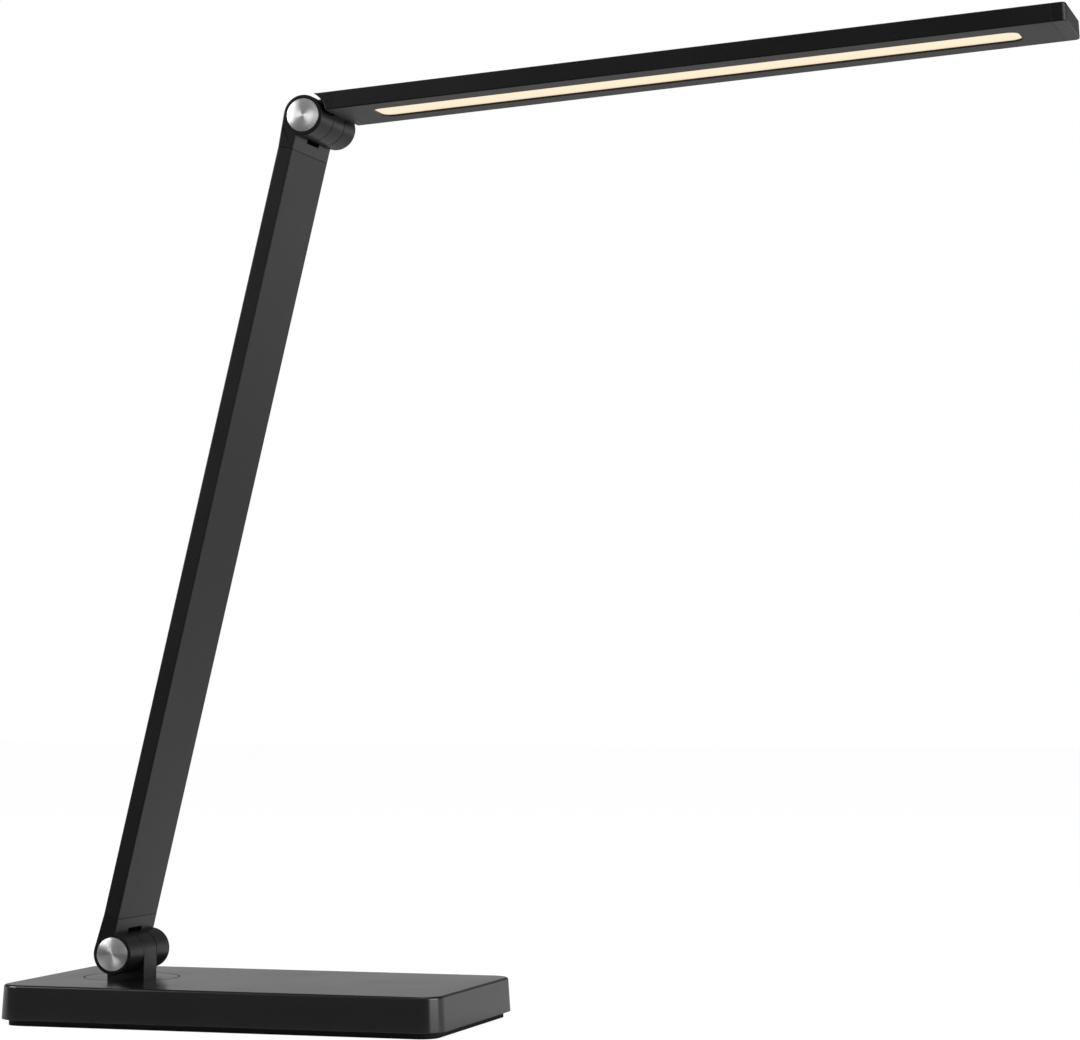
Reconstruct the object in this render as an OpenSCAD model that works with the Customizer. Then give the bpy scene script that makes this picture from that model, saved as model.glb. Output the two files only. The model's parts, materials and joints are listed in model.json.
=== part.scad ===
// Folding desk lamp with a light strip in its head.
// The base stands on z = 0 with its middle at the origin, the arm leans towards +X,
// and the two hinge axes lie along Y.

/* [Base] */
// Length of the base at its top face
base_len = 202; // [180:1:240]
// Width of the base at its top face
base_wid = 108; // [100:1:130]
// Height from the table to the base's top face
base_high = 17.7; // [17.2:0.1:22]
// Radius of the base's upright corners
base_corner = 10; // [6:0.5:16]
// How far the walls spread from top to bottom
base_flare = 0.9; // [0.2:0.1:1.4]
// Radius round the base's top edge
base_edge = 1.2; // [0.6:0.1:1.6]
// Thickness of the base's walls at the top
base_wall = 2; // [1.6:0.1:2.6]
// Thickness of the base's top skin
base_skin = 2.4; // [2:0.1:2.6]
// Height of the dark plinth that shows under the walls
plinth_high = 2.6; // [2:0.1:3.2]
// Thickness of the non-slip mat
mat_thick = 1.2; // [0.8:0.1:1.5]
// Thickness of the bottom plate
plate_thick = 2.4; // [2:0.1:2.6]
// Gap between the bottom plate and the walls
plate_gap = 0.25; // [0.15:0.05:0.5]

/* [Base screws] */
// Distance of each base screw from the two walls beside it
boss_inset = 12; // [11:0.5:15]
// Diameter of the screw bosses
boss_dia = 7; // [6:0.5:8]
// Thread diameter of the base screws
base_screw_dia = 2.6; // [2:0.1:3]
// Head diameter of the base screws
base_screw_head = 5; // [4.5:0.1:5.5]
// Length of the base screws under the head
base_screw_len = 8; // [6:0.5:9]

/* [Ballast and electronics] */
// Thickness of the steel ballast plate
ballast_thick = 8; // [6:0.5:8]
// Thickness of the ribs round the ballast plate
rib_thick = 1.6; // [1.2:0.1:2]
// Clearance between the ballast plate and those ribs
ballast_gap = 0.3; // [0.2:0.05:0.5]
// Width of the strip behind the ballast that holds the control board
board_strip = 31; // [30:0.5:34]
// Thickness of the circuit boards
board_thick = 1.6; // [1.2:0.1:1.8]
// Length of the control board
board_len = 62; // [58:1:70]
// Height of the pads that carry the control board
board_pad = 1; // [0.8:0.1:1.4]
// Distance of the inlet from the middle of the base, towards the turntable
jack_offset = 20; // [16:1:24]
// Width of the inlet's body
jack_wid = 9; // [8:0.5:10]
// Height of the inlet's body
jack_high = 8; // [7.6:0.1:8.4]
// Depth of the inlet's body
jack_deep = 12; // [10:0.5:14]
// Bore of the inlet's socket
jack_bore = 5.7; // [5.5:0.1:5.8]
// Diameter of the inlet's centre pin
jack_pin = 2.1; // [1.6:0.1:2.5]
// Wall of the inlet's collar
jack_collar = 1; // [0.8:0.1:1.1]
// Distance of the touch sensor's middle from the far end of the base
touch_inset = 36; // [33:1:44]
// Length of the touch sensor
touch_len = 22; // [16:1:28]
// Width of the touch sensor
touch_wid = 40; // [30:1:50]
// Thickness of the touch sensor
touch_thick = 1; // [0.8:0.1:1.2]
// Diameter of the two-core lead
lead_dia = 2.4; // [2:0.1:2.6]

/* [Turntable] */
// Distance from the swivel axis to the near end of the base
swivel_inset = 40; // [36:1:46]
// Diameter of the flush disc
disc_dia = 42; // [40:0.5:46]
// Thickness of the flush disc
disc_thick = 1.6; // [1.4:0.1:1.8]
// Gap round the flush disc
disc_gap = 0.4; // [0.3:0.05:0.6]
// Depth to which the bracket sits in the disc
pocket_deep = 0.6; // [0.4:0.1:0.8]
// Diameter of the hub under the disc
hub_dia = 26; // [24:0.5:28]
// Radial clearance of the turning fits
turn_fit = 0.05; // [0.02:0.01:0.08]
// Thickness of the low-friction ring under the disc
slip_thick = 0.4; // [0.3:0.1:0.5]
// Clearance between faces that slide over each other
face_gap = 0.1; // [0.08:0.01:0.15]
// Thickness of the seat that carries the disc
seat_thick = 2; // [1.8:0.1:2.2]
// Thickness of the wave washer
wave_thick = 0.6; // [0.5:0.1:0.8]
// Diameter of the retaining ring
ring_dia = 36; // [34:0.5:38]
// Thickness of the retaining ring
ring_thick = 2; // [1.6:0.1:2.2]
// Thread diameter of the three retainer screws
ring_screw_dia = 2.5; // [2:0.1:2.6]
// Radius of the circle that the retainer screws stand on
ring_screw_circle = 10; // [9.5:0.1:10.4]
// Thread diameter of the two bracket screws
bracket_screw_dia = 3; // [2.5:0.1:3.2]
// Distance between the two bracket screws
bracket_screw_pitch = 8; // [7.6:0.1:8.4]

/* [Hinges] */
// Diameter of the hinge barrels and knuckles
hinge_dia = 18; // [17.4:0.1:20]
// Width of a whole hinge, the arm and the head
hinge_wid = 42.8; // [41:0.5:48]
// Width of the centre barrel
barrel_wid = 13.7; // [13:0.1:15]
// Gap between the barrel and each knuckle
hinge_gap = 0.3; // [0.2:0.05:0.4]
// Gap between the barrel and the fork's hollow
web_gap = 1.8; // [1.5:0.1:2.2]
// Height of the lower axis above the base
axis_rise = 11.5; // [11.2:0.1:14]
// Diameter of the hinge pins
pin_dia = 6; // [5:0.1:6.4]
// Wall of the bushes round the pins
bush_wall = 1.5; // [1:0.1:1.6]
// Diameter of the silver discs
cap_dia = 14.8; // [14.5:0.1:15.7]
// Groove round each silver disc
cap_groove = 0.35; // [0.2:0.05:0.45]
// Depth of the seat for each silver disc
cap_deep = 1.4; // [1.2:0.1:2]
// How far a silver disc stands proud of its knuckle
cap_proud = 0.1; // [0:0.05:0.3]
// Bevel round each silver disc
cap_bevel = 0.3; // [0.1:0.05:0.5]
// Length of the stub that holds a silver disc in the pin's bore
cap_stub = 2; // [1.5:0.1:3]
// Diameter of the friction washers
washer_dia = 12; // [11:0.1:12.6]
// Depth of the washers' seats in the barrel
washer_seat = 0.7; // [0.5:0.1:0.9]

/* [Arm] */
// Distance between the two hinge axes
arm_span = 378.5; // [300:0.5:450]
// Lean of the arm from upright
arm_lean = 13.5; // [5:0.5:25]
// Thickness of the arm
arm_thick = 7.1; // [6.8:0.1:7.4]
// Distance from the arm's inner face to the plane of the hinge axes
arm_set = 1; // [0.9:0.05:1.2]
// Wall of the arm's tube
arm_wall = 1.2; // [1:0.1:1.4]
// Radius of the long edges of the arm and the head
long_edge = 0.6; // [0.6:0.1:1]
// Distance from each hinge axis to the seam of its fork
fork_reach = 15.5; // [14.5:0.5:20]
// Length of a fork's tongue inside the tube
fork_tongue = 18; // [12:0.5:24]

/* [Head] */
// Rise of the head above level
head_rise = 3.6; // [0:0.1:12]
// Thickness of the head
head_thick = 8; // [7.8:0.1:8]
// Wall of the head's tube
head_wall = 1.2; // [1:0.1:1.3]
// Radius of the hollow end that clears the knuckles
nose_radius = 10.5; // [10.4:0.1:11]
// Distance from the upper axis to the seam of the head's end piece
end_reach = 14.7; // [14.2:0.1:16]
// Length of the end piece's tongue inside the tube
end_tongue = 9; // [7:0.5:9]
// Length of the end cap that shows
cap_show = 6; // [4:0.5:8]
// Length of the end cap's plug
cap_plug = 8; // [6:0.5:10]
// Radius of the end cap's upright corners
cap_corner = 2.5; // [1.5:0.1:4]

/* [Light] */
// Distance from the upper axis to the start of the window
window_start = 27.5; // [27:0.5:30]
// Length of the window in the head's underside
window_len = 285; // [240:1:320]
// Distance from the end of the window to the head's free end
tip_margin = 22; // [21:0.5:30]
// Width of the window
window_wid = 20; // [16:0.5:24]
// Radius of the window's corners
window_corner = 5; // [3:0.5:7]
// How far the diffuser lies inside the underside
window_recess = 0.8; // [0.6:0.1:0.9]
// Gap between the diffuser and the window's edge
window_gap = 0.1; // [0.05:0.05:0.2]
// Rim by which the diffuser overlaps the window's edge
diffuser_rim = 2; // [1.5:0.1:2.2]
// Thickness of the diffuser sheet
diffuser_thick = 1.5; // [1:0.1:1.8]
// Width of the light board
led_board_wid = 30; // [28:0.5:34]
// Thickness of the light board
led_board_thick = 1; // [0.8:0.1:1.2]
// Length of one light
led_len = 3.5; // [2:0.1:5]
// Width of one light
led_wid = 2.8; // [1.6:0.1:4]
// Height of one light
led_high = 0.7; // [0.4:0.1:0.9]
// Number of lights in each of the two rows
led_count = 24; // [12:1:30]
// Distance between the two rows of lights
led_row_pitch = 10; // [8:0.5:14]

/* [Hidden] */
$fn = 64;

corner_fn = 48;
edge_steps = 4;
cut = 1;

// Heights inside the base
plate_top = mat_thick + plate_thick;
skin_under = base_high - base_skin;
ballast_top = plate_top + ballast_thick;
board_z = plate_top + board_pad;
board_top = board_z + board_thick;

// Plan of the base
cavity_len = base_len - 2 * base_wall;
cavity_wid = base_wid - 2 * base_wall;
cavity_corner = base_corner - base_wall;
plate_len = cavity_len - 2 * plate_gap;
plate_wid = cavity_wid - 2 * plate_gap;
plate_corner = cavity_corner - plate_gap;
boss_x = base_len / 2 - boss_inset;
boss_y = base_wid / 2 - boss_inset;
base_head_high = base_screw_head / 4;

// Turntable, measured down from the top face
swivel_x = -base_len / 2 + swivel_inset;
recess_r = disc_dia / 2 + disc_gap;
recess_z = base_high - disc_thick - slip_thick - face_gap;
seat_z = recess_z - seat_thick;
seat_r = recess_r + base_wall;
hub_r = hub_dia / 2;
hub_z = seat_z - wave_thick - 2 * face_gap;
ring_z = hub_z - ring_thick;
head_ratio = 0.9;
ring_head_high = 1.2;
ring_head_r = head_ratio * ring_screw_dia;
ring_screw_len = 5;
turn_gap = 0.3;
ring_margin = 1;
bracket_head_r = head_ratio * bracket_screw_dia;
bracket_head_high = 1.8;
bracket_screw_len = 7;

// Hinges
hinge_r = hinge_dia / 2;
pin_r = pin_dia / 2;
bush_bore_r = pin_r + turn_fit;
bush_r = bush_bore_r + bush_wall;
cap_r = cap_dia / 2;
axis_z = base_high + axis_rise;
slot_wid = barrel_wid + 2 * hinge_gap;
lead_r = lead_dia / 2;
duct_x = bush_r + lead_r + 0.45;
duct_mouth = sqrt(hinge_r * hinge_r - duct_x * duct_x) - lead_r;
washer_thick = washer_seat + hinge_gap - face_gap;

// Ballast and board strip
rib_space = 1;
rib_reach = rib_thick + ballast_gap;
ballast_x0 = swivel_x + seat_r + rib_reach + rib_space;
ballast_x1 = boss_x - boss_dia / 2 - rib_reach - rib_space;
ballast_y0 = -plate_wid / 2 + rib_reach + rib_space;
ballast_y1 = cavity_wid / 2 - board_strip - rib_reach;
board_edge = 0.5;
board_y1 = cavity_wid / 2 - board_edge;
board_y0 = cavity_wid / 2 - board_strip + 2 * rib_space;
jack_x = -jack_offset;
board_side = 4;
lead_pad = [6, 10];
board_x0 = jack_x - jack_wid / 2 - board_side;
board_rib_high = 4;
// Parts on the control board: place along it, place across it, length, width and height
BOARD_BLOCKS = [
    [20, 4, 7, 7, 1.2],
    [32, 5, 5, 4, 1.4],
    [38, 16, 9, 9, 4.5],
    [52, 6, 5, 12, 5]
];
// Capacitors on the control board: place along it, place across it, radius and height
BOARD_CANS = [[24, 22, 2.5, 6.5], [31, 22, 2.5, 6.5]];
jack_y = board_y1;
jack_z = board_top + jack_high / 2;
jack_r = jack_bore / 2 + jack_collar;
jack_hole_gap = 0.3;
jack_nose = base_wall + 0.2;
jack_bore_deep = 9;
jack_pin_back = 1;

// Arm in its own frame: the hinge axis at the origin, the arm along +Z, its inner face towards +X
arm_in = -arm_set;
arm_out = -arm_set - arm_thick;
arm_mid = (arm_in + arm_out) / 2;
web_r = hinge_r + web_gap;
tube_len = arm_span - 2 * fork_reach;
pin_len = hinge_wid - 2 * (cap_deep + cap_stub);

// Head in its own frame: the hinge axis at the origin, the head along +X, its top face towards +Z
head_top = hinge_r;
head_low = hinge_r - head_thick;
head_inner_top = head_top - head_wall;
head_inner_low = head_low + head_wall;
head_reach = window_start + window_len + tip_margin;
housing_end = head_reach - cap_show;
window_mid = window_start + window_len / 2;
led_board_gap = 2;
led_board_x0 = end_reach + end_tongue + led_board_gap;
led_board_len = window_len - led_board_gap;
led_margin = 6;
led_pitch = (window_len - 2 * led_margin) / led_count;
sheet_len = window_len + 2 * diffuser_rim;
sheet_wid = window_wid + 2 * diffuser_rim;

housing_colour = [0.17, 0.17, 0.175];
plinth_colour = [0.04, 0.04, 0.04];
cast_colour = [0.2, 0.2, 0.205];
silver_colour = [0.82, 0.82, 0.83];
steel_colour = [0.6, 0.61, 0.62];
board_colour = [0.07, 0.25, 0.15];
lit_colour = [1, 0.92, 0.8];
nylon_colour = [0.9, 0.9, 0.88];
lead_colour = [0.12, 0.12, 0.12];

// A rectangle on the XY plane with true arcs at its corners
module rounded_rect(w, h, r) {
    square([w - 2 * r, h], center = true);
    square([w, h - 2 * r], center = true);
    for (x = [-1, 1], y = [-1, 1])
        translate([x * (w / 2 - r), y * (h / 2 - r)]) circle(r);
}

module slab(w, h, r, z0, z1) {
    translate([0, 0, z0]) linear_extrude(z1 - z0) rounded_rect(w, h, r);
}

// A cylinder along Y, centred on the XZ plane
module y_cylinder(r, len) {
    rotate([90, 0, 0]) cylinder(r = r, h = len, center = true);
}

module at_swivel() {
    translate([swivel_x, 0, 0]) children();
}

module at_lower_axis() {
    translate([swivel_x, 0, axis_z]) children();
}

module in_arm() {
    at_lower_axis() rotate([0, arm_lean, 0]) children();
}

module at_upper_axis() {
    in_arm() translate([0, 0, arm_span]) children();
}

// The upper fork is the lower one turned end for end
module at_upper_fork() {
    at_upper_axis() mirror([0, 0, 1]) children();
}

module in_head() {
    at_upper_axis() rotate([0, -arm_lean - head_rise, 0]) children();
}

module at_bosses() {
    for (x = [-1, 1], y = [-1, 1]) translate([x * boss_x, y * boss_y, 0]) children();
}

// One upright corner of the base: a drafted wall under a rounded top edge
module base_corner_post() {
    rotate_extrude($fn = corner_fn)
        polygon(concat(
            [[0, plinth_high], [base_corner + base_flare, plinth_high]],
            [for (i = [0:edge_steps])
                let (a = i * 90 / edge_steps)
                [base_corner - base_edge * (1 - cos(a)), base_high - base_edge * (1 - sin(a))]],
            [[0, base_high]]
        ));
}

module base_block() {
    hull()
        for (x = [-1, 1], y = [-1, 1])
            translate([x * (base_len / 2 - base_corner), y * (base_wid / 2 - base_corner), 0])
                base_corner_post();
}

module base_housing() {
    color(housing_colour)
    difference() {
        union() {
            difference() {
                base_block();
                slab(cavity_len, cavity_wid, cavity_corner, plinth_high - cut, skin_under);
            }
            at_swivel() translate([0, 0, seat_z]) cylinder(r = seat_r, h = base_high - base_skin / 2 - seat_z);
            at_bosses() translate([0, 0, plate_top])
                cylinder(d = boss_dia, h = skin_under - plate_top + base_skin / 2);
            housing_ribs();
        }
        at_swivel() {
            translate([0, 0, recess_z]) cylinder(r = recess_r, h = base_high - recess_z + cut);
            translate([0, 0, seat_z - cut]) cylinder(r = hub_r + turn_fit, h = seat_thick + 2 * cut);
        }
        at_bosses() translate([0, 0, plate_top - cut])
            cylinder(d = base_screw_dia, h = base_screw_len + cut - plate_thick + base_head_high);
        translate([jack_x, jack_y, jack_z]) rotate([-90, 0, 0])
            cylinder(r = jack_r + jack_hole_gap, h = base_wid / 2 + base_flare + cut - jack_y);
    }
}

// Ribs under the top skin that hold the ballast plate down
module housing_ribs() {
    ballast_len = ballast_x1 - ballast_x0;
    for (share = [0.2, 0.5])
        translate([ballast_x0 + share * ballast_len, ballast_y0 + rib_space, ballast_top])
            cube([rib_thick, ballast_y1 - ballast_y0 - 2 * rib_space, skin_under - ballast_top + base_skin / 2]);
}

module bottom_plate() {
    pad_r = 3;
    color(plinth_colour)
    difference() {
        union() {
            slab(plate_len, plate_wid, plate_corner, mat_thick, plate_top);
            translate([0, 0, plate_top - cut / 2]) linear_extrude(board_rib_high + cut / 2) difference() {
                ballast_plan(rib_reach);
                ballast_plan(ballast_gap);
            }
            for (x = [pad_r, board_len - pad_r], y = [pad_r, board_y1 - board_y0 - pad_r])
                translate([board_x0 + x, board_y0 + y, plate_top - cut / 2])
                    cylinder(r = pad_r, h = board_pad + cut / 2);
        }
        at_bosses() {
            translate([0, 0, mat_thick - cut]) cylinder(d = base_screw_dia, h = plate_thick + 2 * cut);
            translate([0, 0, mat_thick - cut]) cylinder(d = base_screw_head, h = base_head_high + cut);
        }
    }
}

module ballast_plan(grow = 0) {
    translate([ballast_x0 - grow, ballast_y0 - grow])
        square([ballast_x1 - ballast_x0 + 2 * grow, ballast_y1 - ballast_y0 + 2 * grow]);
}

module foot_mat() {
    color(plinth_colour) slab(plate_len, plate_wid, plate_corner, 0, mat_thick);
}

module ballast_plate() {
    color(steel_colour)
        translate([0, 0, plate_top]) linear_extrude(ballast_thick) ballast_plan();
}

module control_board() {
    sunk = board_thick / 2;
    color(board_colour) {
        translate([board_x0, board_y0, board_z]) cube([board_len, board_y1 - board_y0, board_thick]);
        for (b = BOARD_BLOCKS)
            translate([board_x0 + b[0], board_y0 + b[1], board_top - sunk]) cube([b[2], b[3], b[4] + sunk]);
        for (c = BOARD_CANS)
            translate([board_x0 + c[0], board_y0 + c[1], board_top - sunk]) cylinder(r = c[2], h = c[3] + sunk);
    }
}

module touch_board() {
    color(board_colour)
        translate([base_len / 2 - touch_inset - touch_len / 2, -touch_wid / 2, skin_under - touch_thick])
            cube([touch_len, touch_wid, touch_thick]);
}

// Low-voltage inlet: a body on the board, and a collar that fills the hole in the wall
module dc_jack() {
    color(plinth_colour)
    difference() {
        union() {
            translate([jack_x - jack_wid / 2, jack_y - jack_deep, board_top])
                cube([jack_wid, jack_deep, jack_high]);
            translate([jack_x, jack_y - cut, jack_z]) rotate([-90, 0, 0])
                cylinder(r = jack_r, h = jack_nose + cut);
        }
        translate([jack_x, jack_y + jack_nose - jack_bore_deep, jack_z]) rotate([-90, 0, 0])
            difference() {
                cylinder(d = jack_bore, h = jack_bore_deep + cut);
                translate([0, 0, -cut]) cylinder(d = jack_pin, h = jack_bore_deep + cut - jack_pin_back);
            }
    }
}

// A screw pointing up, with its head's upper face at z = 0
module screw(shank_d, shank_len, head_d, head_high) {
    translate([0, 0, -head_high]) difference() {
        cylinder(d = head_d, h = head_high);
        translate([0, 0, -cut]) cylinder(d = head_d * 0.4, h = cut + head_high / 2, $fn = 6);
    }
    cylinder(d = shank_d, h = shank_len);
}

module base_screws() {
    color(steel_colour)
        at_bosses() translate([0, 0, mat_thick + base_head_high])
            screw(base_screw_dia, base_screw_len - base_head_high, base_screw_head, base_head_high);
}

// A straight round lead between two points
module lead(from, to) {
    run = to - from;
    color(lead_colour)
        translate(from) rotate([0, acos(run.z / norm(run)), atan2(run.y, run.x)])
            cylinder(r = lead_r, h = norm(run));
}

// Flat lead from the board, folded once beside the ballast, to a point under the hub, where its cores turn up
module base_lead() {
    core_r = 0.8 * lead_r;
    half = [0, lead_r];
    start = [board_x0, board_y0] + lead_pad;
    fold = [ballast_x0 - lead_dia, start.y];
    foot = [swivel_x + duct_x, 0];
    turn = atan2(fold.y, fold.x - foot.x);
    mitre = lead_r * [tan(turn / 2), -1];
    side = lead_r * [sin(turn), -cos(turn)];
    color(lead_colour) translate([0, 0, board_top]) {
        linear_extrude(lead_dia) {
            polygon([start + half, fold - mitre, foot - side, foot + side, fold + mitre, start - half]);
            translate(foot) circle(lead_r);
        }
        translate(foot)
            cylinder(r = core_r, h = ring_z - ring_head_high - face_gap - turn_gap - board_top);
    }
}

module slip_ring() {
    color(nylon_colour)
        at_swivel() translate([0, 0, recess_z]) difference() {
            cylinder(r = recess_r - ring_margin, h = slip_thick);
            translate([0, 0, -cut]) cylinder(r = hub_r + ring_margin, h = slip_thick + 2 * cut);
        }
}

module bracket_screw_places() {
    for (y = [-1, 1]) translate([-bracket_screw_dia, y * bracket_screw_pitch / 2, 0]) children();
}

module ring_screw_places() {
    for (i = [0:2]) rotate([0, 0, 90 + i * 120]) translate([ring_screw_circle, 0, 0]) children();
}

module turntable_disc() {
    color(housing_colour)
    at_swivel() difference() {
        union() {
            translate([0, 0, base_high - disc_thick]) cylinder(r = disc_dia / 2, h = disc_thick);
            translate([0, 0, hub_z]) cylinder(r = hub_r, h = base_high - disc_thick / 2 - hub_z);
        }
        translate([-hinge_r, -barrel_wid / 2, base_high - pocket_deep])
            cube([hinge_dia, barrel_wid, pocket_deep + cut]);
        translate([duct_x, 0, hub_z - cut]) cylinder(r = lead_r, h = base_high - hub_z + 2 * cut);
        bracket_screw_places() {
            translate([0, 0, hub_z - cut]) cylinder(d = bracket_screw_dia, h = base_high - hub_z + cut);
            translate([0, 0, hub_z - cut]) cylinder(r = bracket_head_r, h = bracket_head_high + cut);
        }
        ring_screw_places()
            translate([0, 0, hub_z - cut])
                cylinder(d = ring_screw_dia, h = ring_screw_len - ring_thick + cut);
    }
}

// Blade and centre barrel of the lower hinge
module swivel_bracket() {
    blade_z = base_high - pocket_deep;
    color(cast_colour)
    difference() {
        union() {
            translate([swivel_x - hinge_r, -barrel_wid / 2, blade_z])
                cube([hinge_dia, barrel_wid, axis_z - blade_z]);
            at_lower_axis() y_cylinder(hinge_r, barrel_wid);
        }
        at_swivel() translate([duct_x, 0, blade_z - cut]) cylinder(r = lead_r, h = axis_rise + hinge_dia);
        at_swivel() bracket_screw_places()
            translate([0, 0, hub_z + bracket_head_high]) cylinder(d = bracket_screw_dia, h = bracket_screw_len);
        at_lower_axis() barrel_cuts();
    }
}

// The bush's bore through a barrel, and a washer's seat in each end
module barrel_cuts() {
    y_cylinder(bush_r, barrel_wid + 2 * cut);
    for (y = [-1, 1])
        translate([0, y * (barrel_wid / 2 - washer_seat / 2 + cut / 2), 0])
            y_cylinder(washer_dia / 2 + face_gap, washer_seat + cut);
}

module bracket_screws() {
    color(steel_colour)
        at_swivel() bracket_screw_places() translate([0, 0, hub_z + bracket_head_high])
            screw(bracket_screw_dia, bracket_screw_len, 2 * bracket_head_r, bracket_head_high);
}

module wave_washer() {
    color(steel_colour)
        at_swivel() translate([0, 0, hub_z]) difference() {
            cylinder(r = ring_dia / 2 - ring_margin, h = wave_thick + face_gap);
            translate([0, 0, -cut]) cylinder(r = hub_r + ring_margin / 2, h = wave_thick + 2 * cut);
        }
}

module retaining_ring() {
    color(steel_colour)
        at_swivel() difference() {
            translate([0, 0, ring_z]) cylinder(d = ring_dia, h = ring_thick);
            translate([0, 0, ring_z - cut]) cylinder(r = ring_screw_circle - ring_screw_dia, h = ring_thick + 2 * cut);
            ring_screw_places()
                translate([0, 0, ring_z - cut]) cylinder(d = ring_screw_dia, h = ring_thick + 2 * cut);
        }
}

module retainer_screws() {
    color(steel_colour)
        at_swivel() ring_screw_places() translate([0, 0, ring_z])
            screw(ring_screw_dia, ring_screw_len, 2 * ring_head_r, ring_head_high);
}

module bush() {
    color(nylon_colour)
    difference() {
        y_cylinder(bush_r, barrel_wid - 2 * washer_seat);
        y_cylinder(bush_bore_r, barrel_wid);
    }
}

module lower_bush() {
    at_lower_axis() bush();
}

module bracket_lead() {
    x = swivel_x + duct_x;
    lead([x, 0, hub_z], [x, 0, axis_z + duct_mouth]);
}

module arm_tube() {
    color(housing_colour)
    in_arm() translate([arm_mid, 0, fork_reach]) difference() {
        linear_extrude(tube_len) rounded_rect(arm_thick, hinge_wid, long_edge);
        translate([0, 0, -cut]) linear_extrude(tube_len + 2 * cut)
            square([arm_thick - 2 * arm_wall, hinge_wid - 2 * arm_wall], center = true);
    }
}

// Where the line from the point p touches the circle of radius r, on the side that sign names
function tangent_point(p, r, sign) =
    let (a = atan2(p.y, p.x), b = acos(r / norm(p)))
    [r * cos(a + sign * b), r * sin(a + sign * b)];

// Side view of a fork: a knuckle, and a neck whose outer line runs into it
module fork_profile() {
    seam_out = [arm_out, fork_reach];
    circle(hinge_r);
    polygon([[arm_in, 0], [arm_in, fork_reach], seam_out, tangent_point(seam_out, hinge_r, 1), [0, 0]]);
}

module fork() {
    tongue_wid = hinge_wid - 2 * arm_wall;
    tongue_thick = arm_thick - 2 * arm_wall;
    color(cast_colour)
    difference() {
        union() {
            rotate([90, 0, 0]) translate([0, 0, -hinge_wid / 2]) linear_extrude(hinge_wid) fork_profile();
            translate([arm_mid - tongue_thick / 2, -tongue_wid / 2, fork_reach - cut])
                cube([tongue_thick, tongue_wid, fork_tongue + cut]);
        }
        y_cylinder(web_r, slot_wid);
        y_cylinder(pin_r, hinge_wid + 2 * cut);
        for (y = [-1, 1])
            translate([0, y * (hinge_wid / 2 - cap_deep / 2 + cut / 2), 0])
                y_cylinder(cap_r + cap_groove, cap_deep + cut);
        translate([arm_mid, 0, 0]) cylinder(r = lead_r, h = fork_reach + fork_tongue + cut);
    }
}

module lower_fork() {
    in_arm() fork();
}

module upper_fork() {
    at_upper_fork() fork();
}

module hinge_pin() {
    color(steel_colour) y_cylinder(pin_r, pin_len);
}

module lower_hinge_pin() {
    at_lower_axis() hinge_pin();
}

module upper_hinge_pin() {
    at_upper_axis() hinge_pin();
}

module hinge_washers() {
    color(steel_colour)
    for (y = [-1, 1])
        translate([0, y * (slot_wid / 2 - washer_thick / 2), 0]) difference() {
            y_cylinder(washer_dia / 2, washer_thick);
            y_cylinder(pin_r, washer_thick + 2 * cut);
        }
}

module lower_hinge_washers() {
    at_lower_axis() hinge_washers();
}

module upper_hinge_washers() {
    at_upper_axis() hinge_washers();
}

// A silver disc on the far side of a hinge, with the stub that holds it in the pin's bore
module hinge_cap() {
    seat_y = hinge_wid / 2 - cap_deep;
    cap_thick = cap_deep + cap_proud;
    color(silver_colour)
    translate([0, seat_y, 0]) rotate([-90, 0, 0]) {
        cylinder(r = cap_r, h = cap_thick - cap_bevel);
        translate([0, 0, cap_thick - cap_bevel]) cylinder(r1 = cap_r, r2 = cap_r - cap_bevel, h = cap_bevel);
        translate([0, 0, -cap_stub]) cylinder(r = pin_r, h = cap_stub + cap_thick / 2);
    }
}

module lower_cap_near() {
    at_lower_axis() mirror([0, 1, 0]) hinge_cap();
}

module lower_cap_far() {
    at_lower_axis() hinge_cap();
}

module upper_cap_near() {
    at_upper_axis() mirror([0, 1, 0]) hinge_cap();
}

module upper_cap_far() {
    at_upper_axis() hinge_cap();
}

module arm_lead() {
    reach = sqrt(web_r * web_r - arm_mid * arm_mid) + lead_r;
    in_arm() lead([arm_mid, 0, reach], [arm_mid, 0, arm_span - reach]);
}

// Barrel of the upper hinge, and the head's end that reaches round the knuckles
module head_end_piece() {
    color(cast_colour)
    in_head() difference() {
        union() {
            difference() {
                translate([0, -hinge_wid / 2, head_low]) cube([end_reach, hinge_wid, head_thick]);
                y_cylinder(nose_radius, hinge_wid + 2 * cut);
            }
            translate([0, -barrel_wid / 2, head_low]) cube([end_reach, barrel_wid, head_thick]);
            y_cylinder(hinge_r, barrel_wid);
            head_hollow(end_reach - cut, end_reach + end_tongue);
        }
        barrel_cuts();
        translate([-hinge_dia, 0, duct_x]) rotate([0, 90, 0])
            cylinder(r = lead_r, h = hinge_dia + end_reach + end_tongue + cut);
    }
}

module upper_bush() {
    in_head() bush();
}

// A bar along X with the head's section, between two distances from the axis
module head_bar(x0, x1) {
    translate([x0, 0, (head_top + head_low) / 2]) rotate([90, 0, 90])
        linear_extrude(x1 - x0) rounded_rect(hinge_wid, head_thick, long_edge);
}

module head_hollow(x0, x1) {
    translate([x0, -hinge_wid / 2 + head_wall, head_inner_low])
        cube([x1 - x0, hinge_wid - 2 * head_wall, head_inner_top - head_inner_low]);
}

module window_outline(grow = 0) {
    translate([window_mid, 0])
        rounded_rect(window_len + 2 * grow, window_wid + 2 * grow, window_corner + grow);
}

module head_housing() {
    color(housing_colour)
    in_head() difference() {
        head_bar(end_reach, housing_end);
        head_hollow(end_reach - cut, housing_end + cut);
        translate([0, 0, head_low - cut]) linear_extrude(head_wall + 2 * cut) window_outline();
    }
}

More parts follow.
